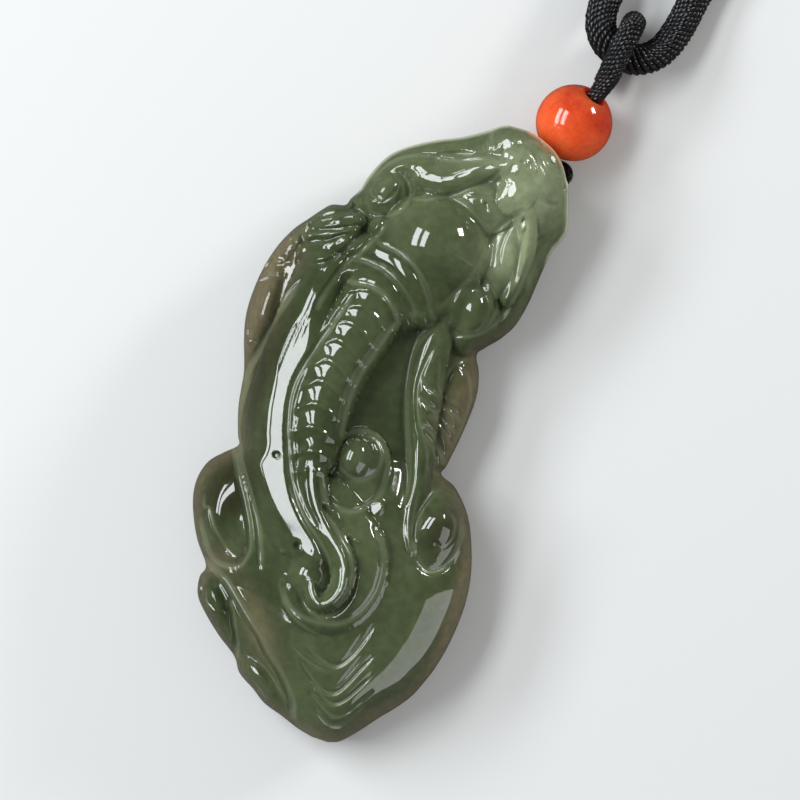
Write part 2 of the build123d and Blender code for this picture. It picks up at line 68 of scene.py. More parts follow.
# Edge of the stone, a row for each section from the head's top to the foot's tip
SECTIONS: list[Row] = [
    # left_across, left_along, right_across, right_along
    (0.600, 0.998, 0.660, 1.000),
    (0.572, 0.991, 0.692, 0.998),
    (0.545, 0.981, 0.722, 0.994),
    (0.510, 0.969, 0.770, 0.984),
    (0.462, 0.955, 0.812, 0.966),
    (0.398, 0.940, 0.850, 0.937),
    (0.342, 0.924, 0.873, 0.909),
    (0.295, 0.907, 0.888, 0.890),
    (0.265, 0.891, 0.895, 0.874),
    (0.243, 0.871, 0.889, 0.859),
    (0.227, 0.849, 0.875, 0.842),
    (0.218, 0.829, 0.868, 0.823),
    (0.199, 0.811, 0.865, 0.805),
    (0.188, 0.798, 0.864, 0.793),
    (0.146, 0.791, 0.863, 0.783),
    (0.119, 0.777, 0.862, 0.772),
    (0.090, 0.758, 0.860, 0.756),
    (0.058, 0.737, 0.855, 0.737),
    (0.031, 0.710, 0.842, 0.710),
    (0.013, 0.681, 0.812, 0.684),
    (0.004, 0.655, 0.776, 0.663),
    (0.001, 0.638, 0.758, 0.648),
    (0.000, 0.618, 0.784, 0.624),
    (0.002, 0.596, 0.801, 0.597),
    (0.010, 0.573, 0.806, 0.570),
    (0.027, 0.546, 0.804, 0.540),
    (0.047, 0.521, 0.800, 0.512),
    (0.063, 0.499, 0.794, 0.488),
    (0.073, 0.474, 0.789, 0.468),
    (0.083, 0.449, 0.783, 0.454),
    (0.099, 0.424, 0.838, 0.443),
    (0.116, 0.403, 0.893, 0.418),
    (0.128, 0.389, 0.926, 0.395),
    (0.092, 0.371, 0.955, 0.365),
    (0.055, 0.350, 0.977, 0.336),
    (0.039, 0.323, 0.993, 0.304),
    (0.043, 0.295, 1.000, 0.271),
    (0.066, 0.264, 0.999, 0.236),
    (0.106, 0.229, 0.992, 0.202),
    (0.162, 0.195, 0.979, 0.169),
    (0.155, 0.175, 0.962, 0.143),
    (0.170, 0.147, 0.943, 0.119),
    (0.215, 0.124, 0.920, 0.100),
    (0.280, 0.099, 0.896, 0.084),
    (0.350, 0.077, 0.872, 0.070),
    (0.385, 0.055, 0.850, 0.056),
    (0.445, 0.039, 0.829, 0.042),
    (0.495, 0.024, 0.808, 0.029),
    (0.560, 0.015, 0.787, 0.017),
    (0.625, 0.005, 0.765, 0.007),
    (0.680, 0.000, 0.735, 0.001),
]

# Height of the plain mass at five places across a section, and the height of the rim and the width
# of the rounding at its two edges
MASS: list[Row] = [
    # along, left_edge, left, middle, right, right_edge, left_rim, right_rim, left_round, right_round
    (0.00, 0.34, 0.42, 0.48, 0.48, 0.40, 0.24, 0.24, 0.08, 0.10),
    (0.05, 0.38, 0.52, 0.62, 0.63, 0.50, 0.22, 0.28, 0.08, 0.12),
    (0.10, 0.42, 0.59, 0.72, 0.72, 0.57, 0.22, 0.32, 0.08, 0.13),
    (0.17, 0.46, 0.64, 0.785, 0.78, 0.62, 0.22, 0.36, 0.08, 0.13),
    (0.27, 0.50, 0.71, 0.84, 0.79, 0.62, 0.24, 0.36, 0.10, 0.13),
    (0.36, 0.52, 0.70, 0.80, 0.70, 0.54, 0.26, 0.32, 0.10, 0.10),
    (0.44, 0.50, 0.68, 0.74, 0.61, 0.46, 0.26, 0.26, 0.12, 0.08),
    (0.52, 0.48, 0.66, 0.69, 0.59, 0.44, 0.24, 0.24, 0.12, 0.07),
    (0.60, 0.44, 0.64, 0.69, 0.60, 0.44, 0.22, 0.24, 0.08, 0.07),
    (0.68, 0.42, 0.62, 0.74, 0.60, 0.46, 0.22, 0.28, 0.07, 0.08),
    (0.75, 0.44, 0.60, 0.76, 0.61, 0.48, 0.26, 0.30, 0.06, 0.08),
    (0.82, 0.48, 0.60, 0.73, 0.64, 0.52, 0.30, 0.34, 0.07, 0.09),
    (0.90, 0.52, 0.63, 0.72, 0.71, 0.60, 0.35, 0.46, 0.08, 0.09),
    (0.96, 0.56, 0.65, 0.72, 0.71, 0.62, 0.43, 0.52, 0.07, 0.08),
    (1.00, 0.56, 0.60, 0.64, 0.62, 0.58, 0.52, 0.52, 0.07, 0.08),
]

# How many of the table's columns are heights across a section
MASS_PLACES = 5

# Rounded bosses of the carving: place, half sizes, turn in degrees, rim, top, and how soft the sides are
BOSSES: dict[str, Row] = {
    # name: (across, along, half_across, half_along, turn, rim_height, top_height, softness)
    "head": (0.725, 0.925, 0.175, 0.088, 0, 0.62, 0.83, 1.0),
    "muzzle": (0.635, 0.968, 0.090, 0.034, 15, 0.74, 0.80, 1.0),
    "snout": (0.672, 0.938, 0.060, 0.034, 20, 0.81, 0.855, 1.0),
    "crown": (0.700, 0.900, 0.060, 0.036, -20, 0.80, 0.855, 1.0),
    "horn_root": (0.605, 0.868, 0.110, 0.042, -22, 0.72, 0.815, 1.0),
    "curl_bed": (0.350, 0.858, 0.085, 0.042, 0, 0.58, 0.635, 1.0),
    "neck_side": (0.612, 0.726, 0.088, 0.062, 0, 0.62, 0.74, 0.8),
    "left_curl": (0.303, 0.834, 0.078, 0.041, 0, 0.52, 0.64, 0.40),
    "left_curl_eye": (0.302, 0.836, 0.042, 0.020, 0, 0.625, 0.675, 0.8),
    "nape": (0.514, 0.784, 0.186, 0.084, -6, 0.62, 0.95, 0.78),
    "ear": (0.728, 0.815, 0.068, 0.080, 4, 0.61, 0.71, 0.7),
    "right_curl": (0.702, 0.706, 0.084, 0.055, 20, 0.58, 0.69, 0.8),
    "right_curl_eye": (0.698, 0.712, 0.044, 0.030, 20, 0.66, 0.72, 0.9),
    "left_leaf": (0.190, 0.750, 0.115, 0.050, 38, 0.48, 0.63, 0.6),
    "left_scallop": (0.085, 0.712, 0.085, 0.044, 40, 0.40, 0.52, 0.7),
    "scale_one": (0.104, 0.741, 0.038, 0.016, 60, 0.50, 0.60, 0.6),
    "scale_two": (0.074, 0.717, 0.042, 0.017, 56, 0.46, 0.58, 0.6),
    "scale_three": (0.048, 0.691, 0.048, 0.018, 50, 0.42, 0.54, 0.6),
    "scale_four": (0.032, 0.666, 0.046, 0.017, 44, 0.38, 0.50, 0.6),
    "left_wing_tip": (0.050, 0.590, 0.064, 0.088, -4, 0.42, 0.60, 0.6),
    "right_wing": (0.738, 0.565, 0.088, 0.082, 4, 0.42, 0.55, 0.7),
    "middle_curl": (0.515, 0.418, 0.108, 0.064, 0, 0.66, 0.78, 0.5),
    "middle_eye": (0.500, 0.434, 0.056, 0.034, 0, 0.76, 0.87, 0.7),
    "right_haunch": (0.835, 0.368, 0.135, 0.088, -28, 0.46, 0.73, 0.6),
    "right_knee": (0.822, 0.380, 0.070, 0.046, -28, 0.66, 0.77, 0.8),
    "left_haunch": (0.176, 0.292, 0.140, 0.105, -20, 0.42, 0.66, 0.7),
    "tail_eye": (0.500, 0.246, 0.074, 0.040, 0, 0.82, 0.93, 0.7),
    "lower_lobe": (0.512, 0.044, 0.056, 0.017, -42, 0.42, 0.53, 0.6),
}

# Raised bands of the carving: how far the sides fall, how soft they are, and the places on the line
BANDS: dict[str, tuple[float, float, list[Row]]] = {
    "outer_lock": (0.12, 0.7, [
        (0.600, 0.985, 0.050, 0.68), (0.500, 0.957, 0.065, 0.67), (0.410, 0.928, 0.065, 0.64),
        (0.330, 0.905, 0.060, 0.60), (0.265, 0.877, 0.045, 0.56), (0.236, 0.845, 0.034, 0.52)]),
    "lock": (0.12, 0.85, [
        (0.639, 0.934, 0.040, 0.845), (0.610, 0.926, 0.046, 0.838), (0.571, 0.917, 0.054, 0.828),
        (0.540, 0.905, 0.061, 0.815), (0.495, 0.888, 0.067, 0.787), (0.460, 0.880, 0.069, 0.765),
        (0.409, 0.879, 0.066, 0.732), (0.375, 0.885, 0.060, 0.708), (0.332, 0.889, 0.050, 0.675),
        (0.289, 0.877, 0.040, 0.640), (0.258, 0.856, 0.032, 0.600), (0.249, 0.834, 0.028, 0.570),
        (0.273, 0.813, 0.024, 0.550)]),
    "cheek": (0.12, 0.8, [
        (0.850, 0.905, 0.080, 0.66), (0.845, 0.860, 0.075, 0.63), (0.838, 0.815, 0.058, 0.60),
        (0.838, 0.765, 0.052, 0.58), (0.822, 0.728, 0.052, 0.58), (0.782, 0.690, 0.050, 0.59),
        (0.715, 0.660, 0.045, 0.60), (0.650, 0.668, 0.034, 0.61)]),
    "ear_rim": (0.08, 0.7, [
        (0.710, 0.890, 0.036, 0.84), (0.756, 0.868, 0.034, 0.79), (0.786, 0.835, 0.030, 0.74),
        (0.797, 0.790, 0.028, 0.70), (0.788, 0.745, 0.026, 0.67)]),
    "fold_upper": (0.10, 0.8, [
        (0.330, 0.778, 0.046, 0.72), (0.420, 0.771, 0.050, 0.82), (0.490, 0.754, 0.054, 0.87),
        (0.545, 0.732, 0.054, 0.86), (0.585, 0.700, 0.044, 0.79)]),
    "fold_middle": (0.10, 0.8, [
        (0.260, 0.738, 0.052, 0.68), (0.350, 0.741, 0.056, 0.80), (0.430, 0.735, 0.060, 0.87),
        (0.495, 0.714, 0.060, 0.88), (0.545, 0.680, 0.052, 0.81)]),
    "fold_lower": (0.10, 0.8, [
        (0.255, 0.702, 0.046, 0.72), (0.340, 0.706, 0.052, 0.82), (0.420, 0.697, 0.054, 0.88),
        (0.495, 0.668, 0.052, 0.83)]),
    "spine": (0.12, 0.9, [
        (0.392, 0.672, 0.110, 0.91), (0.376, 0.630, 0.108, 0.93), (0.360, 0.590, 0.104, 0.94),
        (0.346, 0.545, 0.100, 0.94), (0.346, 0.500, 0.094, 0.94), (0.360, 0.455, 0.084, 0.94),
        (0.382, 0.415, 0.068, 0.93)]),
    "flank": (0.20, 1.0, [
        (0.218, 0.690, 0.105, 0.76), (0.222, 0.640, 0.115, 0.82), (0.226, 0.580, 0.122, 0.86),
        (0.231, 0.520, 0.126, 0.87), (0.243, 0.460, 0.126, 0.88), (0.275, 0.400, 0.128, 0.895),
        (0.334, 0.352, 0.120, 0.916), (0.394, 0.320, 0.112, 0.940), (0.456, 0.292, 0.102, 0.965),
        (0.494, 0.274, 0.084, 0.975)]),
    "leaf_eye": (0.08, 0.6, [
        (0.138, 0.770, 0.022, 0.58), (0.160, 0.786, 0.028, 0.61), (0.195, 0.796, 0.022, 0.60)]),
    "leaf_one": (0.09, 0.6, [
        (0.130, 0.751, 0.024, 0.60), (0.190, 0.766, 0.036, 0.66), (0.248, 0.778, 0.030, 0.66)]),
    "leaf_two": (0.09, 0.6, [
        (0.120, 0.731, 0.026, 0.59), (0.178, 0.745, 0.038, 0.67), (0.240, 0.761, 0.032, 0.69)]),
    "leaf_three": (0.10, 0.6, [
        (0.122, 0.708, 0.032, 0.59), (0.180, 0.722, 0.044, 0.67), (0.236, 0.741, 0.038, 0.70)]),
    "upper_paw": (0.22, 0.6, [
        (0.184, 0.171, 0.050, 0.57), (0.245, 0.143, 0.054, 0.60), (0.318, 0.107, 0.044, 0.54)]),
    "upper_toe": (0.14, 0.7, [
        (0.296, 0.142, 0.026, 0.56), (0.350, 0.122, 0.030, 0.57), (0.412, 0.101, 0.026, 0.53)]),
    "lower_paw": (0.22, 0.6, [
        (0.392, 0.077, 0.046, 0.56), (0.442, 0.063, 0.052, 0.59), (0.500, 0.049, 0.050, 0.56),
        (0.552, 0.033, 0.038, 0.48)]),
    "tail_ridge": (0.07, 0.8, [
        (0.372, 0.425, 0.044, 0.945), (0.395, 0.384, 0.048, 0.945), (0.430, 0.348, 0.048, 0.950),
        (0.485, 0.318, 0.046, 0.965), (0.545, 0.296, 0.044, 0.993), (0.588, 0.268, 0.040, 1.010),
        (0.598, 0.240, 0.036, 1.008), (0.580, 0.217, 0.033, 0.990), (0.540, 0.209, 0.030, 0.965),
        (0.508, 0.224, 0.027, 0.940)]),
    "tail_side": (0.07, 0.8, [
        (0.470, 0.368, 0.062, 0.85), (0.545, 0.342, 0.070, 0.89), (0.625, 0.312, 0.070, 0.91),
        (0.662, 0.278, 0.066, 0.90), (0.662, 0.235, 0.062, 0.89), (0.622, 0.200, 0.058, 0.87),
        (0.560, 0.186, 0.054, 0.86), (0.495, 0.193, 0.048, 0.85), (0.450, 0.214, 0.040, 0.84)]),
    "wing_stem": (0.10, 0.8, [
        (0.600, 0.690, 0.044, 0.66), (0.610, 0.650, 0.058, 0.70), (0.620, 0.605, 0.062, 0.70),
        (0.640, 0.560, 0.060, 0.69), (0.666, 0.515, 0.052, 0.67), (0.695, 0.472, 0.046, 0.66),
        (0.718, 0.430, 0.040, 0.67), (0.727, 0.390, 0.036, 0.70), (0.747, 0.355, 0.032, 0.74),
        (0.777, 0.330, 0.022, 0.76)]),
}

# Flats ground along the carving: how steeply each falls to the left, how far it reaches to the left and
# right of its line, and the places on the line: across, along and height
FLATS: dict[str, tuple[float, float, float, list[Row]]] = {
    "flank": (0.31, 0.095, 0.030, [
        (0.216, 0.660, 0.860), (0.220, 0.625, 0.850), (0.222, 0.580, 0.850), (0.227, 0.520, 0.860),
        (0.241, 0.460, 0.870), (0.262, 0.424, 0.876), (0.288, 0.387, 0.886), (0.330, 0.352, 0.903),
        (0.385, 0.322, 0.925), (0.452, 0.296, 0.955), (0.500, 0.279, 0.978)]),
}

# Ribs of the spine, a row for each rib: both ends and the crest
RIBS: list[Row] = [
    # left_across, left_along, crest_across, crest_along, right_across, right_along
    (0.300, 0.672, 0.370, 0.684, 0.470, 0.664),
    (0.296, 0.642, 0.360, 0.656, 0.470, 0.634),
    (0.284, 0.614, 0.345, 0.627, 0.450, 0.604),
    (0.280, 0.583, 0.330, 0.596, 0.432, 0.574),
    (0.274, 0.549, 0.322, 0.562, 0.420, 0.542),
    (0.271, 0.512, 0.320, 0.528, 0.415, 0.512),
    (0.275, 0.476, 0.324, 0.492, 0.415, 0.482),
    (0.290, 0.441, 0.338, 0.457, 0.420, 0.450),
    (0.312, 0.408, 0.360, 0.422, 0.425, 0.422),
    (0.340, 0.384, 0.378, 0.394, 0.415, 0.398),
]

# Cut lines of the carving: width and depth as shares of a plain cut's, and the places on the line
CUTS: dict[str, tuple[float, float, list[Row]]] = {
    "lock_outer": (0.9, 1.2, [(0.585, 0.937), (0.531, 0.924), (0.458, 0.913), (0.396, 0.911),
        (0.340, 0.901), (0.285, 0.882), (0.252, 0.857), (0.237, 0.835)]),
    "nape_left": (0.9, 1.1, [(0.377, 0.837), (0.404, 0.839), (0.444, 0.847), (0.511, 0.866),
        (0.542, 0.878), (0.595, 0.901), (0.621, 0.920)]),
    "brow": (0.7, 0.5, [(0.537, 0.870), (0.590, 0.876), (0.640, 0.884)]),
    "brow_lower": (0.8, 0.6, [(0.523, 0.865), (0.550, 0.860), (0.577, 0.855)]),
    "lock_slit": (1.0, 1.5, [(0.425, 0.918), (0.470, 0.928), (0.523, 0.934)]),
    "muzzle_arc": (0.9, 1.0, [(0.600, 0.996), (0.575, 0.990), (0.560, 0.980), (0.562, 0.966),
        (0.580, 0.955)]),
    "mouth": (1.1, 1.3, [(0.655, 0.972), (0.672, 0.980), (0.692, 0.985), (0.712, 0.987)]),
    "crease_upper": (1.1, 1.0, [(0.735, 0.962), (0.765, 0.950), (0.800, 0.948), (0.840, 0.957)]),
    "crease_lower": (1.0, 0.9, [(0.775, 0.912), (0.800, 0.902), (0.830, 0.905), (0.858, 0.918)]),
    "nape_top": (1.0, 0.8, [(0.430, 0.846), (0.480, 0.857), (0.540, 0.858), (0.600, 0.846),
        (0.645, 0.830), (0.668, 0.810), (0.662, 0.780), (0.645, 0.750), (0.620, 0.725), (0.595, 0.700)]),
    "left_curl_ring": (1.0, 1.0, [(0.249, 0.815), (0.277, 0.800), (0.330, 0.800), (0.370, 0.816),
        (0.380, 0.837), (0.356, 0.861), (0.318, 0.871)]),
    "left_curl_eye": (0.8, 0.8, [(0.286, 0.857), (0.258, 0.848), (0.252, 0.830), (0.266, 0.823),
        (0.297, 0.820), (0.323, 0.832), (0.330, 0.844)]),
    "shoulder": (1.2, 1.4, [(0.335, 0.790), (0.320, 0.765), (0.292, 0.735), (0.262, 0.712),
        (0.245, 0.690), (0.228, 0.660), (0.222, 0.630)]),
    "fold_one": (1.3, 1.1, [(0.320, 0.764), (0.350, 0.755), (0.405, 0.754), (0.460, 0.743),
        (0.510, 0.724), (0.550, 0.702), (0.578, 0.680)]),
    "fold_two": (1.3, 1.1, [(0.265, 0.720), (0.330, 0.724), (0.400, 0.717), (0.455, 0.702),
        (0.500, 0.684), (0.535, 0.658)]),
    "fold_three": (1.3, 1.1, [(0.250, 0.690), (0.300, 0.686), (0.360, 0.690), (0.420, 0.682),
        (0.465, 0.664), (0.490, 0.645)]),
    "ear_left": (1.0, 0.9, [(0.735, 0.878), (0.700, 0.858), (0.672, 0.828), (0.664, 0.790),
        (0.676, 0.762), (0.710, 0.750)]),
    "ear_right": (1.1, 1.0, [(0.752, 0.866), (0.766, 0.845), (0.778, 0.815), (0.788, 0.785),
        (0.790, 0.760)]),
    "ear_inner": (0.8, 0.5, [(0.722, 0.855), (0.711, 0.832), (0.714, 0.805), (0.732, 0.785)]),
    "cheek_inner": (1.0, 0.8, [(0.790, 0.870), (0.806, 0.840), (0.814, 0.805), (0.812, 0.770),
        (0.802, 0.735), (0.778, 0.702), (0.740, 0.680), (0.690, 0.668), (0.650, 0.668)]),
    "right_curl_ring": (0.9, 0.7, [(0.622, 0.700), (0.630, 0.735), (0.668, 0.758), (0.720, 0.754),
        (0.760, 0.730), (0.762, 0.702), (0.738, 0.682)]),
    "right_curl_eye": (0.8, 0.6, [(0.665, 0.738), (0.700, 0.744), (0.738, 0.726), (0.744, 0.700),
        (0.722, 0.680), (0.690, 0.676)]),
    "stem_left": (1.6, 1.3, [(0.605, 0.672), (0.575, 0.650), (0.560, 0.620), (0.568, 0.585),
        (0.585, 0.552), (0.608, 0.520), (0.638, 0.488), (0.665, 0.458), (0.685, 0.425), (0.692, 0.395)]),
    "stem_right": (0.9, 0.8, [(0.616, 0.637), (0.610, 0.609), (0.609, 0.585), (0.617, 0.562),
        (0.637, 0.536), (0.662, 0.513), (0.692, 0.495), (0.717, 0.476), (0.731, 0.455), (0.736, 0.437)]),
    "stem_vein": (0.8, 0.6, [(0.728, 0.420), (0.735, 0.395), (0.745, 0.370), (0.768, 0.340)]),
    "wing_leaf": (1.0, 0.9, [(0.691, 0.592), (0.694, 0.610), (0.713, 0.627), (0.743, 0.642)]),
    "wing_edge": (0.8, 0.9, [(0.722, 0.621), (0.752, 0.614), (0.773, 0.598), (0.787, 0.578),
        (0.791, 0.551), (0.790, 0.519), (0.781, 0.492)]),
    "spine_left": (1.2, 1.3, [(0.315, 0.668), (0.296, 0.632), (0.280, 0.600), (0.262, 0.570),
        (0.245, 0.540), (0.238, 0.509), (0.245, 0.478), (0.264, 0.444), (0.292, 0.410), (0.326, 0.376),
        (0.368, 0.345), (0.423, 0.318), (0.480, 0.298), (0.525, 0.278), (0.550, 0.260)]),
    "spine_inner": (0.8, 0.6, [(0.262, 0.540), (0.256, 0.505), (0.264, 0.470), (0.290, 0.430),
        (0.322, 0.398), (0.360, 0.366), (0.410, 0.338), (0.462, 0.316)]),
    "spine_right": (1.2, 1.0, [(0.485, 0.660), (0.462, 0.630), (0.446, 0.600), (0.431, 0.570),
        (0.421, 0.540), (0.422, 0.500), (0.432, 0.470), (0.446, 0.445)]),
    "spine_rim": (0.8, 0.6, [(0.462, 0.650), (0.440, 0.620), (0.424, 0.590), (0.409, 0.560),
        (0.402, 0.530), (0.406, 0.495), (0.418, 0.462)]),
    "middle_ring": (1.2, 1.2, [(0.446, 0.456), (0.475, 0.474), (0.520, 0.480), (0.570, 0.470),
        (0.605, 0.446), (0.617, 0.415), (0.604, 0.384), (0.565, 0.361), (0.510, 0.355), (0.455, 0.366),
        (0.420, 0.390)]),
    "middle_eye": (0.9, 0.9, [(0.490, 0.470), (0.540, 0.471), (0.576, 0.455), (0.582, 0.432),
        (0.560, 0.413), (0.520, 0.406), (0.478, 0.411), (0.452, 0.428)]),
    "flank_left": (1.3, 1.3, [(0.088, 0.500), (0.092, 0.455), (0.108, 0.415), (0.145, 0.380),
        (0.190, 0.350), (0.240, 0.317), (0.290, 0.277), (0.335, 0.230)]),
    "wing_inner": (1.3, 1.6, [(0.135, 0.645), (0.118, 0.617), (0.103, 0.590), (0.096, 0.565),
        (0.090, 0.535), (0.080, 0.508), (0.078, 0.480)]),
    "haunch_left": (1.2, 1.5, [(0.104, 0.392), (0.139, 0.368), (0.179, 0.338), (0.222, 0.308),
        (0.258, 0.278), (0.280, 0.246), (0.264, 0.216), (0.210, 0.209), (0.165, 0.218), (0.125, 0.243),
        (0.100, 0.262)]),
    "haunch_vein": (0.8, 0.9, [(0.084, 0.300), (0.096, 0.284), (0.116, 0.284), (0.151, 0.259),
        (0.213, 0.235), (0.262, 0.230)]),
    "tail_outer": (1.1, 1.1, [(0.636, 0.345), (0.678, 0.322), (0.704, 0.292), (0.712, 0.262),
        (0.704, 0.236), (0.680, 0.210), (0.631, 0.189), (0.565, 0.180), (0.500, 0.181), (0.455, 0.192),
        (0.428, 0.210)]),
    "tail_under": (0.8, 0.7, [(0.408, 0.214), (0.453, 0.187), (0.496, 0.172), (0.559, 0.163),
        (0.625, 0.162)]),
    "tail_inner": (1.1, 1.1, [(0.440, 0.368), (0.476, 0.342), (0.530, 0.320), (0.585, 0.296),
        (0.625, 0.265), (0.634, 0.235), (0.614, 0.206), (0.578, 0.192), (0.535, 0.191), (0.498, 0.202),
        (0.478, 0.218)]),
    "tail_eye": (1.0, 1.0, [(0.560, 0.268), (0.566, 0.245), (0.556, 0.228), (0.535, 0.222),
        (0.515, 0.232)]),
    "paw_line": (1.5, 2.2, [(0.158, 0.203), (0.233, 0.190), (0.290, 0.170), (0.342, 0.150),
        (0.402, 0.128), (0.445, 0.108), (0.500, 0.088), (0.545, 0.066), (0.580, 0.044), (0.596, 0.024)]),
    "paw_split": (1.1, 1.8, [(0.282, 0.160), (0.306, 0.138), (0.330, 0.116), (0.352, 0.092),
        (0.362, 0.078)]),
    "polish_mark_one": (0.35, 0.10, [(0.166, 0.585), (0.160, 0.560), (0.157, 0.530), (0.160, 0.505)]),
    "polish_mark_two": (0.35, 0.13, [(0.184, 0.612), (0.176, 0.580), (0.172, 0.550), (0.173, 0.520)]),
    "polish_mark_three": (0.35, 0.12, [(0.200, 0.620), (0.194, 0.590), (0.190, 0.560)]),
    "polish_mark_four": (0.35, 0.10, [(0.214, 0.628), (0.208, 0.600), (0.205, 0.575)]),
    "paw_rim": (0.7, 0.9, [(0.398, 0.091), (0.452, 0.083), (0.502, 0.067), (0.548, 0.048)]),
    "paw_rim_low": (0.7, 0.9, [(0.444, 0.055), (0.470, 0.044), (0.500, 0.033)]),
    "paw_crease": (0.8, 1.2, [(0.196, 0.160), (0.205, 0.148), (0.222, 0.136)]),
    "haunch_right": (1.2, 1.3, [(0.800, 0.438), (0.768, 0.412), (0.756, 0.380), (0.768, 0.345),
        (0.800, 0.320), (0.845, 0.310), (0.885, 0.320), (0.908, 0.345), (0.910, 0.375), (0.890, 0.400)]),
    "knee_hook": (0.9, 0.8, [(0.835, 0.408), (0.872, 0.395), (0.884, 0.372), (0.868, 0.352),
        (0.840, 0.352)]),
    "chevron_one": (0.8, 1.1, [(0.555, 0.140), (0.600, 0.129), (0.650, 0.123), (0.680, 0.128),
        (0.705, 0.146), (0.725, 0.172), (0.742, 0.205)]),
    "chevron_one_low": (0.8, 0.8, [(0.500, 0.135), (0.555, 0.121), (0.610, 0.114), (0.650, 0.114)]),
    "chevron_one_side": (0.8, 0.7, [(0.690, 0.140), (0.705, 0.162), (0.718, 0.190)]),
    "chevron_two": (0.8, 1.2, [(0.560, 0.112), (0.610, 0.094), (0.655, 0.083), (0.695, 0.084),
        (0.720, 0.102), (0.745, 0.130), (0.772, 0.158)]),
    "chevron_two_side": (0.8, 0.8, [(0.700, 0.098), (0.722, 0.125), (0.740, 0.152)]),
    "chevron_three": (0.8, 1.2, [(0.620, 0.086), (0.665, 0.071), (0.705, 0.068), (0.735, 0.080),
        (0.762, 0.103), (0.790, 0.130)]),
    "chevron_four": (0.8, 1.1, [(0.625, 0.070), (0.680, 0.054), (0.722, 0.050), (0.755, 0.060),
        (0.782, 0.082), (0.806, 0.104)]),
    "chevron_five": (0.8, 1.1, [(0.660, 0.048), (0.710, 0.034), (0.750, 0.036), (0.780, 0.056),
        (0.806, 0.080)]),
    "leaf_edge": (1.1, 1.6, [(0.203, 0.806), (0.222, 0.797), (0.262, 0.790), (0.278, 0.774),
        (0.262, 0.752), (0.240, 0.728), (0.205, 0.704), (0.160, 0.692), (0.110, 0.690)]),
    "leaf_vein_one": (0.8, 1.4, [(0.127, 0.761), (0.160, 0.774), (0.205, 0.783), (0.240, 0.789)]),
    "leaf_vein_two": (0.8, 1.5, [(0.122, 0.742), (0.182, 0.754), (0.225, 0.764), (0.258, 0.772)]),
    "leaf_vein_three": (0.8, 1.5, [(0.112, 0.721), (0.166, 0.732), (0.208, 0.744), (0.246, 0.757)]),
    "scale_cut_one": (0.9, 1.9, [(0.106, 0.760), (0.094, 0.744), (0.096, 0.728), (0.116, 0.722)]),
    "scale_cut_two": (0.9, 1.9, [(0.066, 0.734), (0.062, 0.720), (0.072, 0.706), (0.094, 0.702)]),
    "scale_cut_three": (0.9, 1.9, [(0.030, 0.704), (0.034, 0.694), (0.056, 0.684), (0.086, 0.684)]),
    "scale_cut_four": (0.9, 1.8, [(0.006, 0.670), (0.020, 0.662), (0.052, 0.656), (0.082, 0.660)]),
    "tip_line": (1.0, 1.3, [(0.150, 0.668), (0.128, 0.642), (0.108, 0.612), (0.098, 0.585),
        (0.090, 0.556), (0.082, 0.523), (0.074, 0.496)]),
    "feather_one": (0.9, 1.2, [(0.647, 0.621), (0.665, 0.603), (0.677, 0.582), (0.699, 0.568)]),
    "feather_two": (1.0, 1.3, [(0.611, 0.584), (0.639, 0.575), (0.667, 0.570), (0.694, 0.567)]),
    "feather_three": (1.0, 1.4, [(0.704, 0.559), (0.734, 0.557), (0.764, 0.550), (0.786, 0.539)]),
    "feather_four": (1.1, 1.6, [(0.623, 0.557), (0.655, 0.550), (0.686, 0.546), (0.717, 0.542),
        (0.753, 0.533), (0.780, 0.521)]),
    "feather_five": (1.0, 1.4, [(0.678, 0.535), (0.712, 0.533), (0.745, 0.522), (0.773, 0.505)]),
    "feather_six": (1.1, 1.6, [(0.659, 0.520), (0.693, 0.515), (0.724, 0.507), (0.751, 0.492),
        (0.774, 0.475)]),
    "feather_seven": (1.0, 1.4, [(0.681, 0.505), (0.711, 0.497), (0.737, 0.484), (0.757, 0.468)]),
    "cheek_notch": (1.4, 1.4, [(0.840, 0.802), (0.834, 0.788), (0.838, 0.774)]),
}

# Chamfers polished along lines: half width as a share of the stone's width, and the places on the
# line: across, along, height, and how steeply the chamfer rises to the line's left
CHAMFERS: dict[str, tuple[float, list[Row]]] = {
    "tail": (0.015, [
        (0.374, 0.406, 0.945, 0.33), (0.392, 0.385, 0.945, 0.33), (0.414, 0.363, 0.948, 0.33),
        (0.447, 0.341, 0.956, 0.31), (0.486, 0.322, 0.969, 0.26), (0.525, 0.306, 0.990, 0.22),
        (0.559, 0.293, 1.008, 0.23), (0.586, 0.276, 1.019, 0.28), (0.597, 0.258, 1.021, 0.31),
        (0.602, 0.241, 1.020, 0.32), (0.595, 0.228, 1.014, 0.33), (0.584, 0.218, 1.006, 0.33),
        (0.562, 0.208, 0.990, 0.25), (0.536, 0.213, 0.970, 0.00), (0.519, 0.221, 0.956, -0.20),
        (0.505, 0.233, 0.946, -0.30)]),
    "tail_stroke": (0.009, [
        (0.462, 0.349, 0.868, 0.29), (0.485, 0.341, 0.878, 0.28), (0.520, 0.330, 0.893, 0.26),
        (0.562, 0.322, 0.912, 0.20), (0.596, 0.318, 0.930, 0.14)]),
}

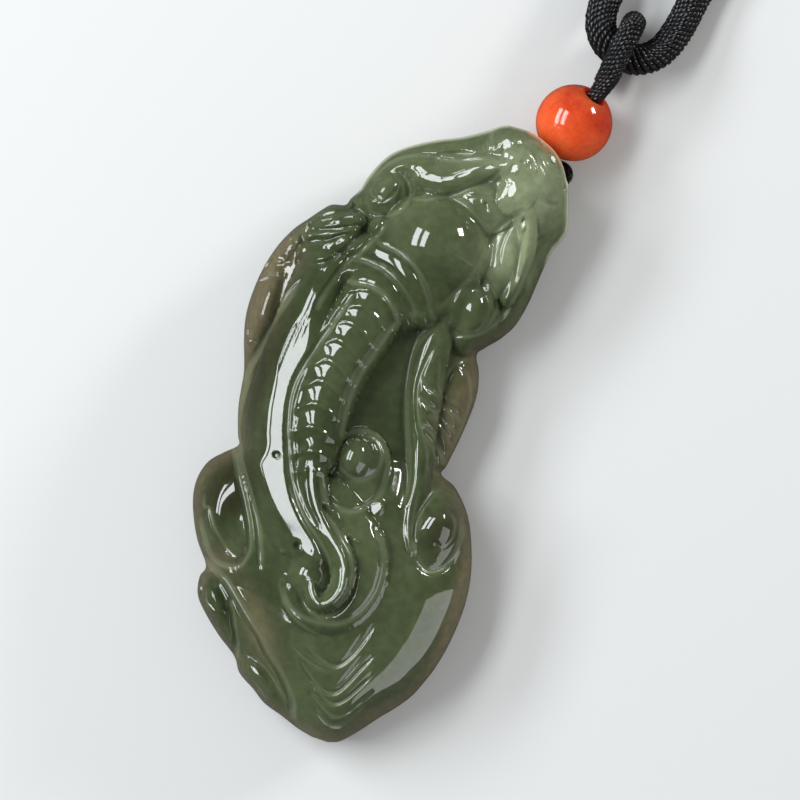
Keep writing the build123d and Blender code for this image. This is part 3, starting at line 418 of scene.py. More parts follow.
# Small facets that polishing leaves, which all fall to the left: place, half sizes as shares of the
# stone's width, and turn in degrees
FACETS: dict[str, Row] = {
    # name: (across, along, half_long, half_short, turn)
    "wave_one": (0.390, 0.885, 0.026, 0.010, -25),
    "wave_two": (0.434, 0.881, 0.034, 0.010, 1),
    "wave_three": (0.479, 0.886, 0.030, 0.011, 23),
    "wave_four": (0.518, 0.898, 0.032, 0.008, 36),
    "lock_root": (0.590, 0.922, 0.030, 0.009, 20),
    "curl_low": (0.291, 0.824, 0.018, 0.011, -10),
    "curl_side": (0.334, 0.846, 0.016, 0.008, 110),
    "brow_one": (0.602, 0.869, 0.019, 0.010, -40),
    "brow_two": (0.626, 0.863, 0.027, 0.009, -48),
    "muzzle": (0.615, 0.966, 0.024, 0.020, 110),
    "snout": (0.687, 0.947, 0.016, 0.010, -10),
    "snout_side": (0.718, 0.946, 0.022, 0.008, -40),
    "crown": (0.665, 0.934, 0.021, 0.018, 100),
    "eye": (0.682, 0.901, 0.030, 0.020, 90),
    "cheek": (0.772, 0.969, 0.026, 0.012, -45),
    "jaw": (0.840, 0.938, 0.019, 0.010, 90),
    "ear_top": (0.752, 0.859, 0.023, 0.009, 105),
    "saddle": (0.620, 0.373, 0.036, 0.026, 60),
    "leaf_eye": (0.150, 0.775, 0.030, 0.009, 35),
    "leaf_upper": (0.152, 0.764, 0.028, 0.008, 28),
    "leaf_upper_end": (0.215, 0.779, 0.030, 0.008, 28),
    "leaf_middle": (0.200, 0.756, 0.034, 0.008, 27),
    "leaf_lower": (0.142, 0.730, 0.028, 0.008, 20),
    "leaf_lower_end": (0.206, 0.745, 0.032, 0.008, 36),
    "leaf_foot": (0.187, 0.727, 0.018, 0.008, 35),
    "leaf_foot_end": (0.215, 0.741, 0.022, 0.008, 56),
    "scale_one": (0.100, 0.741, 0.030, 0.010, 95),
    "scale_two": (0.070, 0.713, 0.028, 0.009, -51),
    "scale_three": (0.015, 0.668, 0.018, 0.008, 72),
    "scale_three_end": (0.046, 0.685, 0.028, 0.009, 15),
    "scale_four": (0.026, 0.646, 0.028, 0.009, 42),
    "wing_tip": (0.033, 0.560, 0.018, 0.009, 100),
    "wing_tip_end": (0.060, 0.549, 0.024, 0.008, 15),
    "paw_upper": (0.177, 0.161, 0.018, 0.010, 100),
    "paw_upper_end": (0.228, 0.142, 0.034, 0.011, -32),
    "paw_lower": (0.435, 0.071, 0.030, 0.010, -29),
}

# Small pits in the polish
PITS: list[Span] = [
    # across, along
    (0.262, 0.398),
    (0.420, 0.280),
]

# Waves that grinding by hand leaves in the surface, in radians
RIPPLES: list[Place] = [
    # across_each_millimetre, along_each_millimetre, start
    (1.3, 0.4, 0.3),
    (0.5, 1.1, 1.7),
    (-0.9, 0.8, 2.9),
    (1.9, -1.2, 4.1),
    (-1.6, -2.0, 5.3),
]

# Tints of the stone with painted light and shade: place, half sizes, turn in degrees, how much painted warm
# glow from behind, and how pale or, below 0, how much painted shade
TINTS: dict[str, Row] = {
    # name: (across, along, half_across, half_along, turn, warm, pale)
    "base_left": (0.400, 0.135, 0.055, 0.085, 38, 0.70, 0.00),
    "upper_foot": (0.200, 0.215, 0.070, 0.030, -30, 0.50, 0.00),
    "wing_tip": (0.045, 0.600, 0.075, 0.075, -6, 0.70, -0.35),
    "scales": (0.060, 0.695, 0.085, 0.045, -40, 0.45, -0.20),
    "left_haunch": (0.155, 0.325, 0.110, 0.075, -18, 0.20, -1.00),
    "flank": (0.125, 0.515, 0.060, 0.130, 0, 0.12, -0.85),
    "right_wing": (0.765, 0.560, 0.070, 0.075, 4, 0.80, 0.10),
    "right_side": (0.985, 0.285, 0.050, 0.120, 0, 0.80, 0.00),
    "right_low": (0.880, 0.080, 0.120, 0.018, 30, 0.55, 0.00),
    "tip": (0.700, 0.000, 0.100, 0.020, 0, 0.50, 0.00),
    "right_haunch": (0.850, 0.375, 0.090, 0.060, -28, 0.25, -0.75),
    "head": (0.730, 0.930, 0.200, 0.080, -10, 0.00, 0.72),
    "locks": (0.420, 0.905, 0.200, 0.030, 20, 0.00, 0.16),
    "ear": (0.740, 0.825, 0.080, 0.060, 0, 0.00, 1.00),
    "nape_foot": (0.600, 0.765, 0.090, 0.045, 30, 0.00, 0.22),
    "middle_curl": (0.530, 0.430, 0.070, 0.045, 0, 0.00, 0.28),
    "left_curl": (0.300, 0.845, 0.070, 0.040, 0, 0.00, 0.15),
    "chevrons": (0.560, 0.140, 0.080, 0.030, 0, 0.10, 0.22),
}


def smooth_between(before: np.ndarray, start: np.ndarray, end: np.ndarray, after: np.ndarray,
                   share: np.ndarray | float) -> np.ndarray:
    """A smooth curve's value at a share of the way from start to end, by its two further neighbours."""
    return 0.5 * (2 * start + (end - before) * share
                  + (2 * before - 5 * start + 4 * end - after) * share ** 2
                  + (3 * start - before - 3 * end + after) * share ** 3)


def with_ends(rows: np.ndarray) -> np.ndarray:
    """Rows with one more at each end, which carry its last step on."""
    return np.vstack([2 * rows[:1] - rows[1:2], rows, 2 * rows[-1:] - rows[-2:-1]])


def smooth_rows(rows: list[Row], steps: int) -> np.ndarray:
    """A smooth run through the rows of a table.

    Args:
        rows: The rows, all of one length.
        steps: How many steps the run takes from each row to the next.

    Returns:
        The run's rows, which pass through every row of the table.
    """
    table = np.array(rows, dtype=float)
    padded = with_ends(table)
    run = [smooth_between(*four, step / steps)
           for four in zip(padded, padded[1:], padded[2:], padded[3:]) for step in range(steps)]
    return np.array(run + [table[-1]])


def nearest_on(line: np.ndarray, x: np.ndarray, y: np.ndarray,
               reach: float) -> tuple[np.ndarray, np.ndarray]:
    """How far places lie from a line, for the places within reach of it.

    Args:
        line: Points of the line, with any further columns after the first two.
        x: Places across, a flat array.
        y: Places along, a flat array.
        reach: The furthest distance that matters.

    Returns:
        The distances, which stay at the reach beyond it, and the line's further columns there.
    """
    least = np.full(x.shape, reach)
    columns = np.zeros(x.shape + (line.shape[1] - 2,))
    columns[:] = line[0, 2:]
    for start, end in zip(line, line[1:]):
        middle = (start[:2] + end[:2]) / 2
        room = np.abs(end[:2] - start[:2]) / 2 + reach
        near = np.flatnonzero((np.abs(x - middle[0]) < room[0]) & (np.abs(y - middle[1]) < room[1]))
        run = end[:2] - start[:2]
        share = np.clip(((x[near] - start[0]) * run[0] + (y[near] - start[1]) * run[1]) / (run @ run), 0, 1)
        distance = np.hypot(x[near] - start[0] - share * run[0], y[near] - start[1] - share * run[1])
        closer = distance < least[near]
        least[near[closer]] = distance[closer]
        columns[near[closer]] = start[2:] + share[closer, None] * (end[2:] - start[2:])
    return least, columns


def smooth_higher(first: np.ndarray, second: np.ndarray, blend: float) -> np.ndarray:
    """The higher of two surfaces, rounded over the blend where they cross."""
    mix = np.maximum(blend - np.abs(first - second), 0) / blend
    return np.maximum(first, second) + mix ** 2 * blend / 4


def swell(share: np.ndarray, softness: float) -> np.ndarray:
    """Height of a form at a share of the way out from its top, steeper at the edge when less soft."""
    return np.clip(1 - share ** 2, 0, 1) ** softness


def smooth_step(value: np.ndarray, low: float, high: float) -> np.ndarray:
    """A value's way from low to high, from 0 to 1 with soft ends."""
    share = np.clip((value - low) / (high - low), 0, 1)
    return share * share * (3 - 2 * share)


def direction(turn: float, rise: float = 0.0) -> Vector:
    """A unit vector turned so many degrees from +X and rising so many degrees from the ground."""
    turn, rise = math.radians(turn), math.radians(rise)
    return Vector((math.cos(turn) * math.cos(rise), math.sin(turn) * math.cos(rise), math.sin(rise)))


def linked(name: str, data: bpy.types.ID) -> bpy.types.Object:
    """Puts data into the scene as a new object at the origin.

    Args:
        name: The object's name.
        data: Its mesh, curve, light or camera.

    Returns:
        The new object.
    """
    thing = bpy.data.objects.new(name, data)
    bpy.context.scene.collection.objects.link(thing)
    return thing


def new_mesh(name: str, vertices: list, faces: list, smooth: bool = True) -> bpy.types.Object:
    """A mesh object at the origin, linked into the scene.

    Args:
        name: The object's name.
        vertices: Places in metres.
        faces: Lists of vertex numbers.
        smooth: Whether its faces are shaded smooth.

    Returns:
        The new object.
    """
    mesh = bpy.data.meshes.new(name)
    mesh.from_pydata(vertices, [], faces)
    mesh.polygons.foreach_set("use_smooth", [smooth] * len(mesh.polygons))
    mesh.update()
    return linked(name, mesh)


def add_mask(piece: bpy.types.Object, name: str, values: np.ndarray) -> None:
    """Keeps a value for each vertex of a mesh as an attribute."""
    layer = piece.data.attributes.new(name, "FLOAT", "POINT")
    layer.data.foreach_set("value", np.asarray(values, dtype=np.float32))


class NodeKit:
    """Adds nodes to one node tree and joins them."""

    def __init__(self, tree: bpy.types.NodeTree) -> None:
        """Keeps the tree that the nodes go into."""
        self.tree = tree

    def add(self, kind: str, inputs: dict | None = None, **settings: object) -> bpy.types.Node:
        """Adds a node.

        Args:
            kind: The node's type.
            inputs: For each of its inputs, by name or number, a value or the socket that feeds it.
            settings: The node's own properties.

        Returns:
            The new node.
        """
        node = self.tree.nodes.new(kind)
        for name, value in settings.items():
            setattr(node, name, value)
        self.feed(node, inputs or {})
        return node

    def feed(self, node: bpy.types.Node, inputs: dict) -> None:
        """Sets or joins a node's inputs.

        Args:
            node: The node.
            inputs: For each input, by name or number, a value or the socket that feeds it.
        """
        for key, value in inputs.items():
            if isinstance(value, bpy.types.NodeSocket):
                self.tree.links.new(value, node.inputs[key])
            else:
                node.inputs[key].default_value = value

    def math(self, operation: str, *values: object) -> bpy.types.NodeSocket:
        """Output of a math node with the given values or sockets."""
        return self.add("ShaderNodeMath", dict(enumerate(values)), operation=operation).outputs[0]

    def vector(self, operation: str, inputs: dict) -> bpy.types.NodeSocket:
        """Output of a vector math node with the given inputs."""
        return self.add("ShaderNodeVectorMath", inputs, operation=operation).outputs[0]

    def noise(self, place: bpy.types.NodeSocket, scale: object, detail: float,
              roughness: float = 0.5) -> bpy.types.NodeSocket:
        """Height of a noise texture at a place."""
        inputs = {"Vector": place, "Scale": scale, "Detail": detail, "Roughness": roughness}
        return self.add("ShaderNodeTexNoise", inputs).outputs["Fac"]

    def ramp(self, value: bpy.types.NodeSocket, low: object, high: object, start: object = 0.0,
             end: object = 1.0) -> bpy.types.NodeSocket:
        """A value taken from one range to another with soft ends."""
        inputs = {"Value": value, "From Min": low, "From Max": high, "To Min": start, "To Max": end}
        return self.add("ShaderNodeMapRange", inputs, interpolation_type="SMOOTHSTEP").outputs["Result"]

    def mix(self, share: object, first: object, second: object, blend: str = "MIX") -> bpy.types.NodeSocket:
        """Output of a colour mix."""
        inputs = {0: share, 6: first, 7: second}
        return self.add("ShaderNodeMix", inputs, data_type="RGBA", blend_type=blend).outputs[2]

    def attribute(self, name: str, output: str = "Fac") -> bpy.types.NodeSocket:
        """A mesh attribute's value."""
        return self.add("ShaderNodeAttribute", attribute_name=name).outputs[output]

    def mask(self, name: str, most: float = 1.0) -> bpy.types.NodeSocket:
        """A mesh attribute's soft way from 0 to 1, taken from 0 to the most."""
        return self.ramp(self.attribute(name), 0.0, 1.0, 0.0, most)

    def object_place(self) -> bpy.types.NodeSocket:
        """The place on the piece in its own coordinates."""
        return self.add("ShaderNodeTexCoord").outputs["Object"]

    def glossy_ray(self) -> bpy.types.NodeSocket:
        """Whether the surface is seen in another one's polish."""
        return self.add("ShaderNodeLightPath").outputs["Is Glossy Ray"]


def new_group(name: str, kind: str, inputs: dict[str, tuple[str, object]],
              outputs: dict[str, str]) -> tuple[bpy.types.NodeTree, NodeKit, bpy.types.Node, bpy.types.Node]:
    """A node group with named sockets.

    Args:
        name: The group's name.
        kind: The type of tree.
        inputs: For each input, its socket type and its usual value, or None.
        outputs: For each output, its socket type.

    Returns:
        The tree, a kit for it, its input node and its output node.
    """
    tree = bpy.data.node_groups.new(name, kind)
    for label, (socket, value) in inputs.items():
        item = tree.interface.new_socket(label, in_out="INPUT", socket_type=socket)
        if value is not None:
            item.default_value = value
    for label, socket in outputs.items():
        tree.interface.new_socket(label, in_out="OUTPUT", socket_type=socket)
    kit = NodeKit(tree)
    return tree, kit, kit.add("NodeGroupInput"), kit.add("NodeGroupOutput")


def cloud_group() -> bpy.types.NodeTree:
    """The slow clouds and fine grain inside a polished stone, as masks, and its hand-ground surface.

    Returns:
        The node group.
    """
    details = {"Clouds": ("Cloud Scale", 4.0), "Grain": ("Grain Scale", 5.0),
               "Ripple": ("Ripple Scale", 1.0)}
    tree, kit, given, result = new_group(
        "stone_depth", "ShaderNodeTree",
        {"Cloud Scale": ("NodeSocketFloat", 60.0), "Grain Scale": ("NodeSocketFloat", 900.0),
         "Ripple Scale": ("NodeSocketFloat", 350.0)},
        {label: "NodeSocketFloat" for label in details})
    place = kit.object_place()
    for label, (scale, detail) in details.items():
        kit.feed(result, {label: kit.noise(place, given.outputs[scale], detail)})
    return tree


def fibre_group() -> bpy.types.NodeTree:
    """Twisted plies and loose fibres of a thread, from where a place lies along and around it.

    Returns:
        The node group.
    """
    tree, kit, given, result = new_group(
        "thread_fibres", "ShaderNodeTree",
        {"Lay": ("NodeSocketFloat", 0.0011), "Fibre Scale": ("NodeSocketFloat", 2600.0)},
        {"Plies": "NodeSocketFloat", "Fuzz": "NodeSocketFloat"})
    along = kit.attribute("thread_along")
    around = kit.add("ShaderNodeSeparateXYZ", {0: kit.attribute("thread_around", "Vector")})
    turn = kit.math("MULTIPLY", kit.math("DIVIDE", along, given.outputs["Lay"]), math.tau)
    sine = kit.math("MULTIPLY", kit.math("SINE", turn), around.outputs["X"])
    cosine = kit.math("MULTIPLY", kit.math("COSINE", turn), around.outputs["Y"])
    plies = kit.math("ABSOLUTE", kit.math("ADD", sine, cosine))
    fuzz = kit.noise(kit.object_place(), given.outputs["Fibre Scale"], detail=4.0, roughness=0.7)
    kit.feed(result, {"Plies": plies, "Fuzz": fuzz})
    return tree


def new_material(name: str) -> tuple[bpy.types.Material, NodeKit, bpy.types.Node]:
    """An empty node material.

    Args:
        name: The material's name.

    Returns:
        The material, a kit for its nodes and its Principled shader.
    """
    material = bpy.data.materials.new(name)
    material.use_nodes = True
    return material, NodeKit(material.node_tree), material.node_tree.nodes["Principled BSDF"]


@dataclass(frozen=True)
class StoneFinish:
    """What the two polished stones share: clouds and grain inside, and a glow under the polish."""

    name: str
    cloud_scale: float
    cloud_span: Span
    grain_scale: float
    grain_span: Span
    grain_tones: Span
    ripple_scale: float
    refraction: float
    glow: float
    glow_depth: float
    glow_reach: Place
    roughness: float

    def begin(self, depth: bpy.types.NodeTree) -> tuple[bpy.types.Material, NodeKit, bpy.types.Node,
                                                        bpy.types.Node]:
        """The material as far as both stones go.

        Args:
            depth: The node group for clouds and grain inside a stone.

        Returns:
            The material, a kit for its nodes, its shader, and the node that puts out the masks.
        """
        material, kit, shader = new_material(self.name)
        kit.feed(shader, {"IOR": self.refraction, "Subsurface Weight": self.glow,
                          "Subsurface Scale": self.glow_depth, "Subsurface Radius": self.glow_reach})
        scales = {"Cloud Scale": self.cloud_scale, "Grain Scale": self.grain_scale,
                  "Ripple Scale": self.ripple_scale}
        return material, kit, shader, kit.add("ShaderNodeGroup", scales, node_tree=depth)

    def grained(self, kit: NodeKit, inside: bpy.types.Node,
                colour: bpy.types.NodeSocket) -> bpy.types.NodeSocket:
        """The stone's colour with its fine grain over it."""
        grain = kit.ramp(inside.outputs["Grain"], *self.grain_span, *self.grain_tones)
        return kit.mix(1.0, colour, grain, "MULTIPLY")


@dataclass(frozen=True)
class JadeFinish(StoneFinish):
    """Polished grey-green nephrite, paler in places, with painted see-through glow, edge highlight and shade.
    """

    name: str = "jade_polish"
    cloud_scale: float = 75.0
    cloud_span: Span = (0.34, 0.68)
    grain_scale: float = 1100.0
    grain_span: Span = (0.30, 0.75)
    grain_tones: Span = (0.86, 1.12)
    ripple_scale: float = 260.0
    refraction: float = 1.61
    glow: float = 0.45
    glow_depth: float = 0.0022
    glow_reach: Place = (0.8, 1.0, 0.6)
    roughness: float = 0.06
    cut_roughness: float = 0.22
    deep: Colour = (0.040, 0.055, 0.021, 1.0)
    plain: Colour = (0.082, 0.104, 0.048, 1.0)
    # Pale tint of the stone, also used for the painted highlight along the head's edge
    pale: Colour = (0.250, 0.290, 0.170, 1.0)
    # Painted shade, laid where the pale mask is below 0: the haunches, flank, wing tip and scales
    shade: Colour = (0.018, 0.023, 0.006, 1.0)
    # Painted warm glow at the thin edges, as if light from behind showed through the stone
    thin: Colour = (0.175, 0.138, 0.082, 1.0)
    speck: Colour = (0.012, 0.016, 0.010, 1.0)
    # Painted highlight: a pale line along the head's top edge
    rim: Colour = (0.62, 0.63, 0.48, 1.0)
    painted_glow_share: float = 0.70
    cut_share: float = 0.30
    rim_highlight_share: float = 0.85
    bump: float = 0.06
    bump_height: float = 0.0002

    def make(self, depth: bpy.types.NodeTree) -> bpy.types.Material:
        """The material.

        Args:
            depth: The node group for clouds and grain inside a stone.

        Returns:
            The finished material.
        """
        material, kit, shader, inside = self.begin(depth)
        green = kit.mix(kit.ramp(inside.outputs["Clouds"], *self.cloud_span), self.deep, self.plain)
        # The stone's pale tint, with a painted highlight along the head's edge
        green = kit.mix(kit.mask("stone_pale"), green, self.pale)
        # Painted shade where the pale mask is below 0
        green = kit.mix(kit.ramp(kit.attribute("stone_pale"), 0.0, -1.0), green, self.shade)
        # Painted warm glow at the thin edges, as if lit from behind
        green = kit.mix(kit.mask("stone_thin", self.painted_glow_share), green, self.thin)
        green = self.grained(kit, inside, green)
        green = kit.mix(kit.mask("stone_cut", self.cut_share), green, self.pale)
        green = kit.mix(kit.attribute("stone_speck"), green, self.speck)
        # Painted highlight: a pale line along the head's top edge
        green = kit.mix(kit.mask("stone_rim", self.rim_highlight_share), green, self.rim)
        dull = kit.ramp(kit.attribute("stone_cut"), 0.0, 1.0, self.roughness, self.cut_roughness)
        bump = kit.add("ShaderNodeBump", {"Strength": self.bump, "Distance": self.bump_height,
                                          "Height": inside.outputs["Ripple"]}).outputs[0]
        kit.feed(shader, {"Base Color": green, "Roughness": dull, "Normal": bump})
        return material


@dataclass(frozen=True)
class AgateFinish(StoneFinish):
    """Polished red-orange agate with faint cloudy bands, and a painted glow, as of light through it, on the
    side by the stone.
    """

    name: str = "agate_polish"
    cloud_scale: float = 230.0
    cloud_span: Span = (0.36, 0.66)
    grain_scale: float = 2400.0
    grain_span: Span = (0.30, 0.70)
    grain_tones: Span = (0.90, 1.08)
    ripple_scale: float = 700.0
    ripple_span: Span = (0.30, 0.70)
    refraction: float = 1.54
    glow: float = 0.90
    glow_depth: float = 0.0050
    glow_reach: Place = (1.0, 0.25, 0.1)
    roughness: float = 0.06
    worn_roughness: float = 0.10
    dark: Colour = (0.42, 0.034, 0.010, 1.0)
    light: Colour = (0.58, 0.085, 0.022, 1.0)
    # Painted glow of light through the bead, lighter and more orange on the side by the stone
    painted_glow_tone: Colour = (0.90, 0.135, 0.032, 1.0)
    painted_glow_span: Span = (-0.5, 1.0)

    def make(self, depth: bpy.types.NodeTree) -> bpy.types.Material:
        """The material.

        Args:
            depth: The node group for clouds and grain inside a stone.

        Returns:
            The finished material.
        """
        material, kit, shader, inside = self.begin(depth)
        red = kit.mix(kit.ramp(inside.outputs["Clouds"], *self.cloud_span), self.dark, self.light)
        # Painted glow: lighter and more orange on the side by the stone
        red = kit.mix(kit.ramp(kit.attribute("agate_painted_glow"), *self.painted_glow_span), red, self.painted_glow_tone)
        polish = kit.ramp(inside.outputs["Ripple"], *self.ripple_span, self.roughness, self.worn_roughness)
        kit.feed(shader, {"Base Color": self.grained(kit, inside, red), "Roughness": polish})
        return material


class Thread(Enum):
    """The two threads of the cords, each with its material's name and the lay of its plies in metres."""

    WOUND = ("wound_thread", 0.0011)
    FINE = ("fine_thread", 0.0005)


@dataclass(frozen=True)
class ThreadFinish:
    """Waxed black thread, with painted shade in the gaps between its plies and a few loose fibres."""

    thread: Thread
    fibre_scale: float = 3200.0
    black: Colour = (0.0022, 0.0022, 0.0027, 1.0)
    worn: Colour = (0.012, 0.012, 0.014, 1.0)
    worn_span: Span = (0.35, 0.75)
    # Painted shade in the gaps between the plies
    gap_shade: Colour = (0.001, 0.001, 0.0012, 1.0)
    gap_shade_width: float = 0.35
    gap_shade_share: float = 0.70
    fuzz_span: Span = (0.30, 0.70)
    roughness: Span = (0.24, 0.42)
    shine: float = 0.55
    fuzz_height: float = 0.5
    bump: float = 0.8
    bump_height: float = 0.00012

    def make(self, fibres: bpy.types.NodeTree) -> bpy.types.Material:
        """The material.

        Args:
            fibres: The node group for a thread's plies and fibres.

        Returns:
            The finished material.
        """
        name, lay = self.thread.value
        material, kit, shader = new_material(name)
        thread = kit.add("ShaderNodeGroup", {"Lay": lay, "Fibre Scale": self.fibre_scale}, node_tree=fibres)
        plies, fuzz = thread.outputs["Plies"], thread.outputs["Fuzz"]
        shade = kit.mix(kit.ramp(fuzz, *self.worn_span), self.black, self.worn)
        # Paints shade into the gaps between the plies
        shade = kit.mix(kit.ramp(plies, 0.0, self.gap_shade_width, self.gap_shade_share, 0.0), shade, self.gap_shade)
        height = kit.math("ADD", plies, kit.math("MULTIPLY", fuzz, self.fuzz_height))
        bump = kit.add("ShaderNodeBump", {"Strength": self.bump, "Distance": self.bump_height,
                                          "Height": height}).outputs[0]
        kit.feed(shader, {"Base Color": shade, "Roughness": kit.ramp(fuzz, *self.fuzz_span, *self.roughness),
                          "Normal": bump, "Specular IOR Level": self.shine})
        return material


@dataclass
class CarvedStone:
    """The jade carving: one stone with a carved face, rounded under its edge, and a flat back.

    Its sizes are in millimetres, and its tables are taken as they stand at the top of the file.
    """

    corner: Span
    length: float = 66.9
    width: float = 32.0
    thickness: float = 15.0
    under_share: float = 0.36
    rim_change: Span = (-0.5, 0.5)
    blend: float = 0.55
    flat_blend: float = 0.08
    facet_fall: float = 0.31
    facet_core: float = 0.65
    chamfer_core: float = 0.60
    rib_width: float = 1.15
    rib_height: float = 0.17
    crest_width: float = 0.30
    crest_height: float = 0.10
    crest_softness: float = 1.0
    cut_width: float = 0.34
    cut_depth: float = 0.34
    cut_softness: float = 1.3
    cut_end: float = 1.6
    cut_end_depth: float = 0.4
    ripple_height: float = 0.010
    pit_depth: float = 0.12
    pit_radius: float = 0.42
    # Painted warm glow near the edges, as if light from behind showed through the thin stone
    painted_glow_edge: float = 2.0
    painted_glow_strength: float = 0.55
    painted_glow_stop: Span = (0.70, 0.80)
    # Painted pale highlight just inside the head's edge
    pale_highlight_edge: Span = (0.15, 0.50)
    pale_highlight_start: Span = (0.80, 0.86)
    # Painted rim highlight: a pale line along the head's top edge
    rim_highlight_rise: float = 0.06
    rim_highlight_fall: Span = (0.10, 0.28)
    rim_highlight_start: Span = (0.80, 0.84)
    leaf_start: Span = (0.62, 0.68)
    leaf_side: Span = (0.20, 0.30)
    leaf_clearing: float = 0.8
    edge_crowding: float = 1.2
    edge_evening: float = 1.6
    rows_along: int = 430
    places_across: int = 205
    wall_rows: int = 6
    steps: int = 8
    section_run: np.ndarray = field(init=False)
    mass_run: np.ndarray = field(init=False)

    def __post_init__(self) -> None:
        """Works out the smooth runs through the edge's and the mass's tables."""
        self.section_run = smooth_rows(SECTIONS, self.steps) * ((self.width, self.length) * 2)
        self.mass_run = smooth_rows(MASS, self.steps)

    def scaled(self, rows: list[Row]) -> np.ndarray:
        """A smooth line through a table's rows.

        Args:
            rows: The rows, which start with shares of the width and the length.

        Returns:
            The line's points in millimetres, with the rows' further columns as they are.
        """
        line = smooth_rows(rows, self.steps)
        line[:, :2] *= (self.width, self.length)
        return line

    def mass_columns(self, y: np.ndarray) -> list[np.ndarray]:
        """The columns of the mass's table at places along the stone."""
        run = self.mass_run
        return [np.interp(y / self.length, run[:, 0], column) for column in run[:, 1:].T]

    def mass_height(self, y: np.ndarray, side: np.ndarray) -> np.ndarray:
        """Height of the plain mass.

        Args:
            y: Places along in millimetres.
            side: Where each place lies in its section, from -1 at the left edge to 1 at the right edge.

        Returns:
            The heights over the back.
        """
        heights = np.array(self.mass_columns(y)[:MASS_PLACES])
        place = (side + 1) / 2 * (MASS_PLACES - 1)
        first = np.clip(place.astype(int), 0, MASS_PLACES - 2)
        four = [np.take_along_axis(with_ends(heights), first[None] + k, 0)[0] for k in range(4)]
        return smooth_between(*four, place - first) * self.thickness

    def way_out(self, x: np.ndarray, y: np.ndarray, oval: Row) -> np.ndarray:
        """How far places lie out of the middle of an oval, which has its edge at 1.

        Args:
            x: Places across in millimetres.
            y: Places along in millimetres.
            oval: The oval's middle, as shares of the stone's width and length, its two half sizes in
                millimetres, and its turn in degrees.

        Returns:
            The distances from the middle as shares of the way to the edge.
        """
        across, along, half_first, half_second, turn = oval
        c, s = math.cos(math.radians(turn)), math.sin(math.radians(turn))
        dx, dy = x - across * self.width, y - along * self.length
        return np.hypot((dx * c + dy * s) / half_first, (dy * c - dx * s) / half_second)

    def forms(self, x: np.ndarray, y: np.ndarray, z: np.ndarray) -> np.ndarray:
        """The surface with its bosses and bands raised on it and its flats ground off it.

        Args:
            x: Places across in millimetres.
            y: Places along in millimetres.
            z: The surface's heights there.

        Returns:
            The new heights.
        """
        for across, along, half_across, half_along, turn, rim, top, softness in BOSSES.values():
            oval = (across, along, half_across * self.width, half_along * self.length, turn)
            out = self.way_out(x, y, oval)
            boss = (rim + (top - rim) * swell(out, softness)) * self.thickness
            z = np.where(out < 1, smooth_higher(z, boss, self.blend), z)
        for fall, softness, places in BANDS.values():
            reach = max(place[2] for place in places) * self.width
            distance, columns = nearest_on(self.scaled(places), x, y, reach)
            out = distance / (columns[:, 0] * self.width)
            band = (columns[:, 1] - fall * (1 - swell(out, softness))) * self.thickness
            z = np.where(out < 1, smooth_higher(z, band, self.blend), z)
        for slope, left_reach, right_reach, places in FLATS.values():
            line = self.scaled(places)[::-1]
            beside = x - np.interp(y, line[:, 1], line[:, 0])
            flat = np.interp(y, line[:, 1], line[:, 2]) * self.thickness + slope * beside
            within = ((beside > -left_reach * self.width) & (beside < right_reach * self.width)
                      & (y > line[0, 1]) & (y < line[-1, 1]))
            z = np.where(within, -smooth_higher(-z, -flat, self.flat_blend), z)
        return z

    def chamfers(self, x: np.ndarray, y: np.ndarray, z: np.ndarray) -> np.ndarray:
        """The surface with its polished chamfers laid in.

        Args:
            x: Places across in millimetres.
            y: Places along in millimetres.
            z: The surface's heights there.

        Returns:
            The new heights.
        """
        for half_width, places in CHAMFERS.values():
            line = self.scaled(places)
            run = np.gradient(line[:, :2], axis=0)
            run /= np.linalg.norm(run, axis=1, keepdims=True)
            half = half_width * self.width
            distance, found = nearest_on(np.column_stack([line[:, :2], line, run]), x, y, half)
            line_x, line_y, level, slope, run_x, run_y = found.T
            to_left = (line_x - x) * run_y + (y - line_y) * run_x
            chamfer = level * self.thickness + slope * to_left
            z = z + (chamfer - z) * (1 - smooth_step(distance / half, self.chamfer_core, 1.0))
        return z

    def facets(self, x: np.ndarray, y: np.ndarray, z: np.ndarray) -> np.ndarray:
        """The surface with its small facets laid in, each level with the stone at its own middle.

        Args:
            x: Places across in millimetres.
            y: Places along in millimetres.
            z: The surface's heights there.

        Returns:
            The new heights.
        """
        for across, along, half_long, half_short, turn in FACETS.values():
            out = self.way_out(x, y, (across, along, half_long * self.width, half_short * self.width, turn))
            facet = z[np.argmin(out)] + self.facet_fall * (x - across * self.width)
            z = z + (facet - z) * (1 - smooth_step(out, self.facet_core, 1.0))
        return z

    def ribs(self, x: np.ndarray, y: np.ndarray) -> np.ndarray:
        """How far the sharp ribs of the spine stand over the hollows between them.

        Args:
            x: Places across in millimetres.
            y: Places along in millimetres.

        Returns:
            The heights to add.
        """
        nearest = np.full(x.shape, self.rib_width)
        for rib in RIBS:
            distance, _ = nearest_on(self.scaled([rib[0:2], rib[2:4], rib[4:6]]), x, y, self.rib_width)
            nearest = np.minimum(nearest, distance)
        crest = self.crest_height * swell(np.clip(nearest / self.crest_width, 0, 1), self.crest_softness)
        return self.rib_height * (1 - nearest / self.rib_width) ** 2 + crest

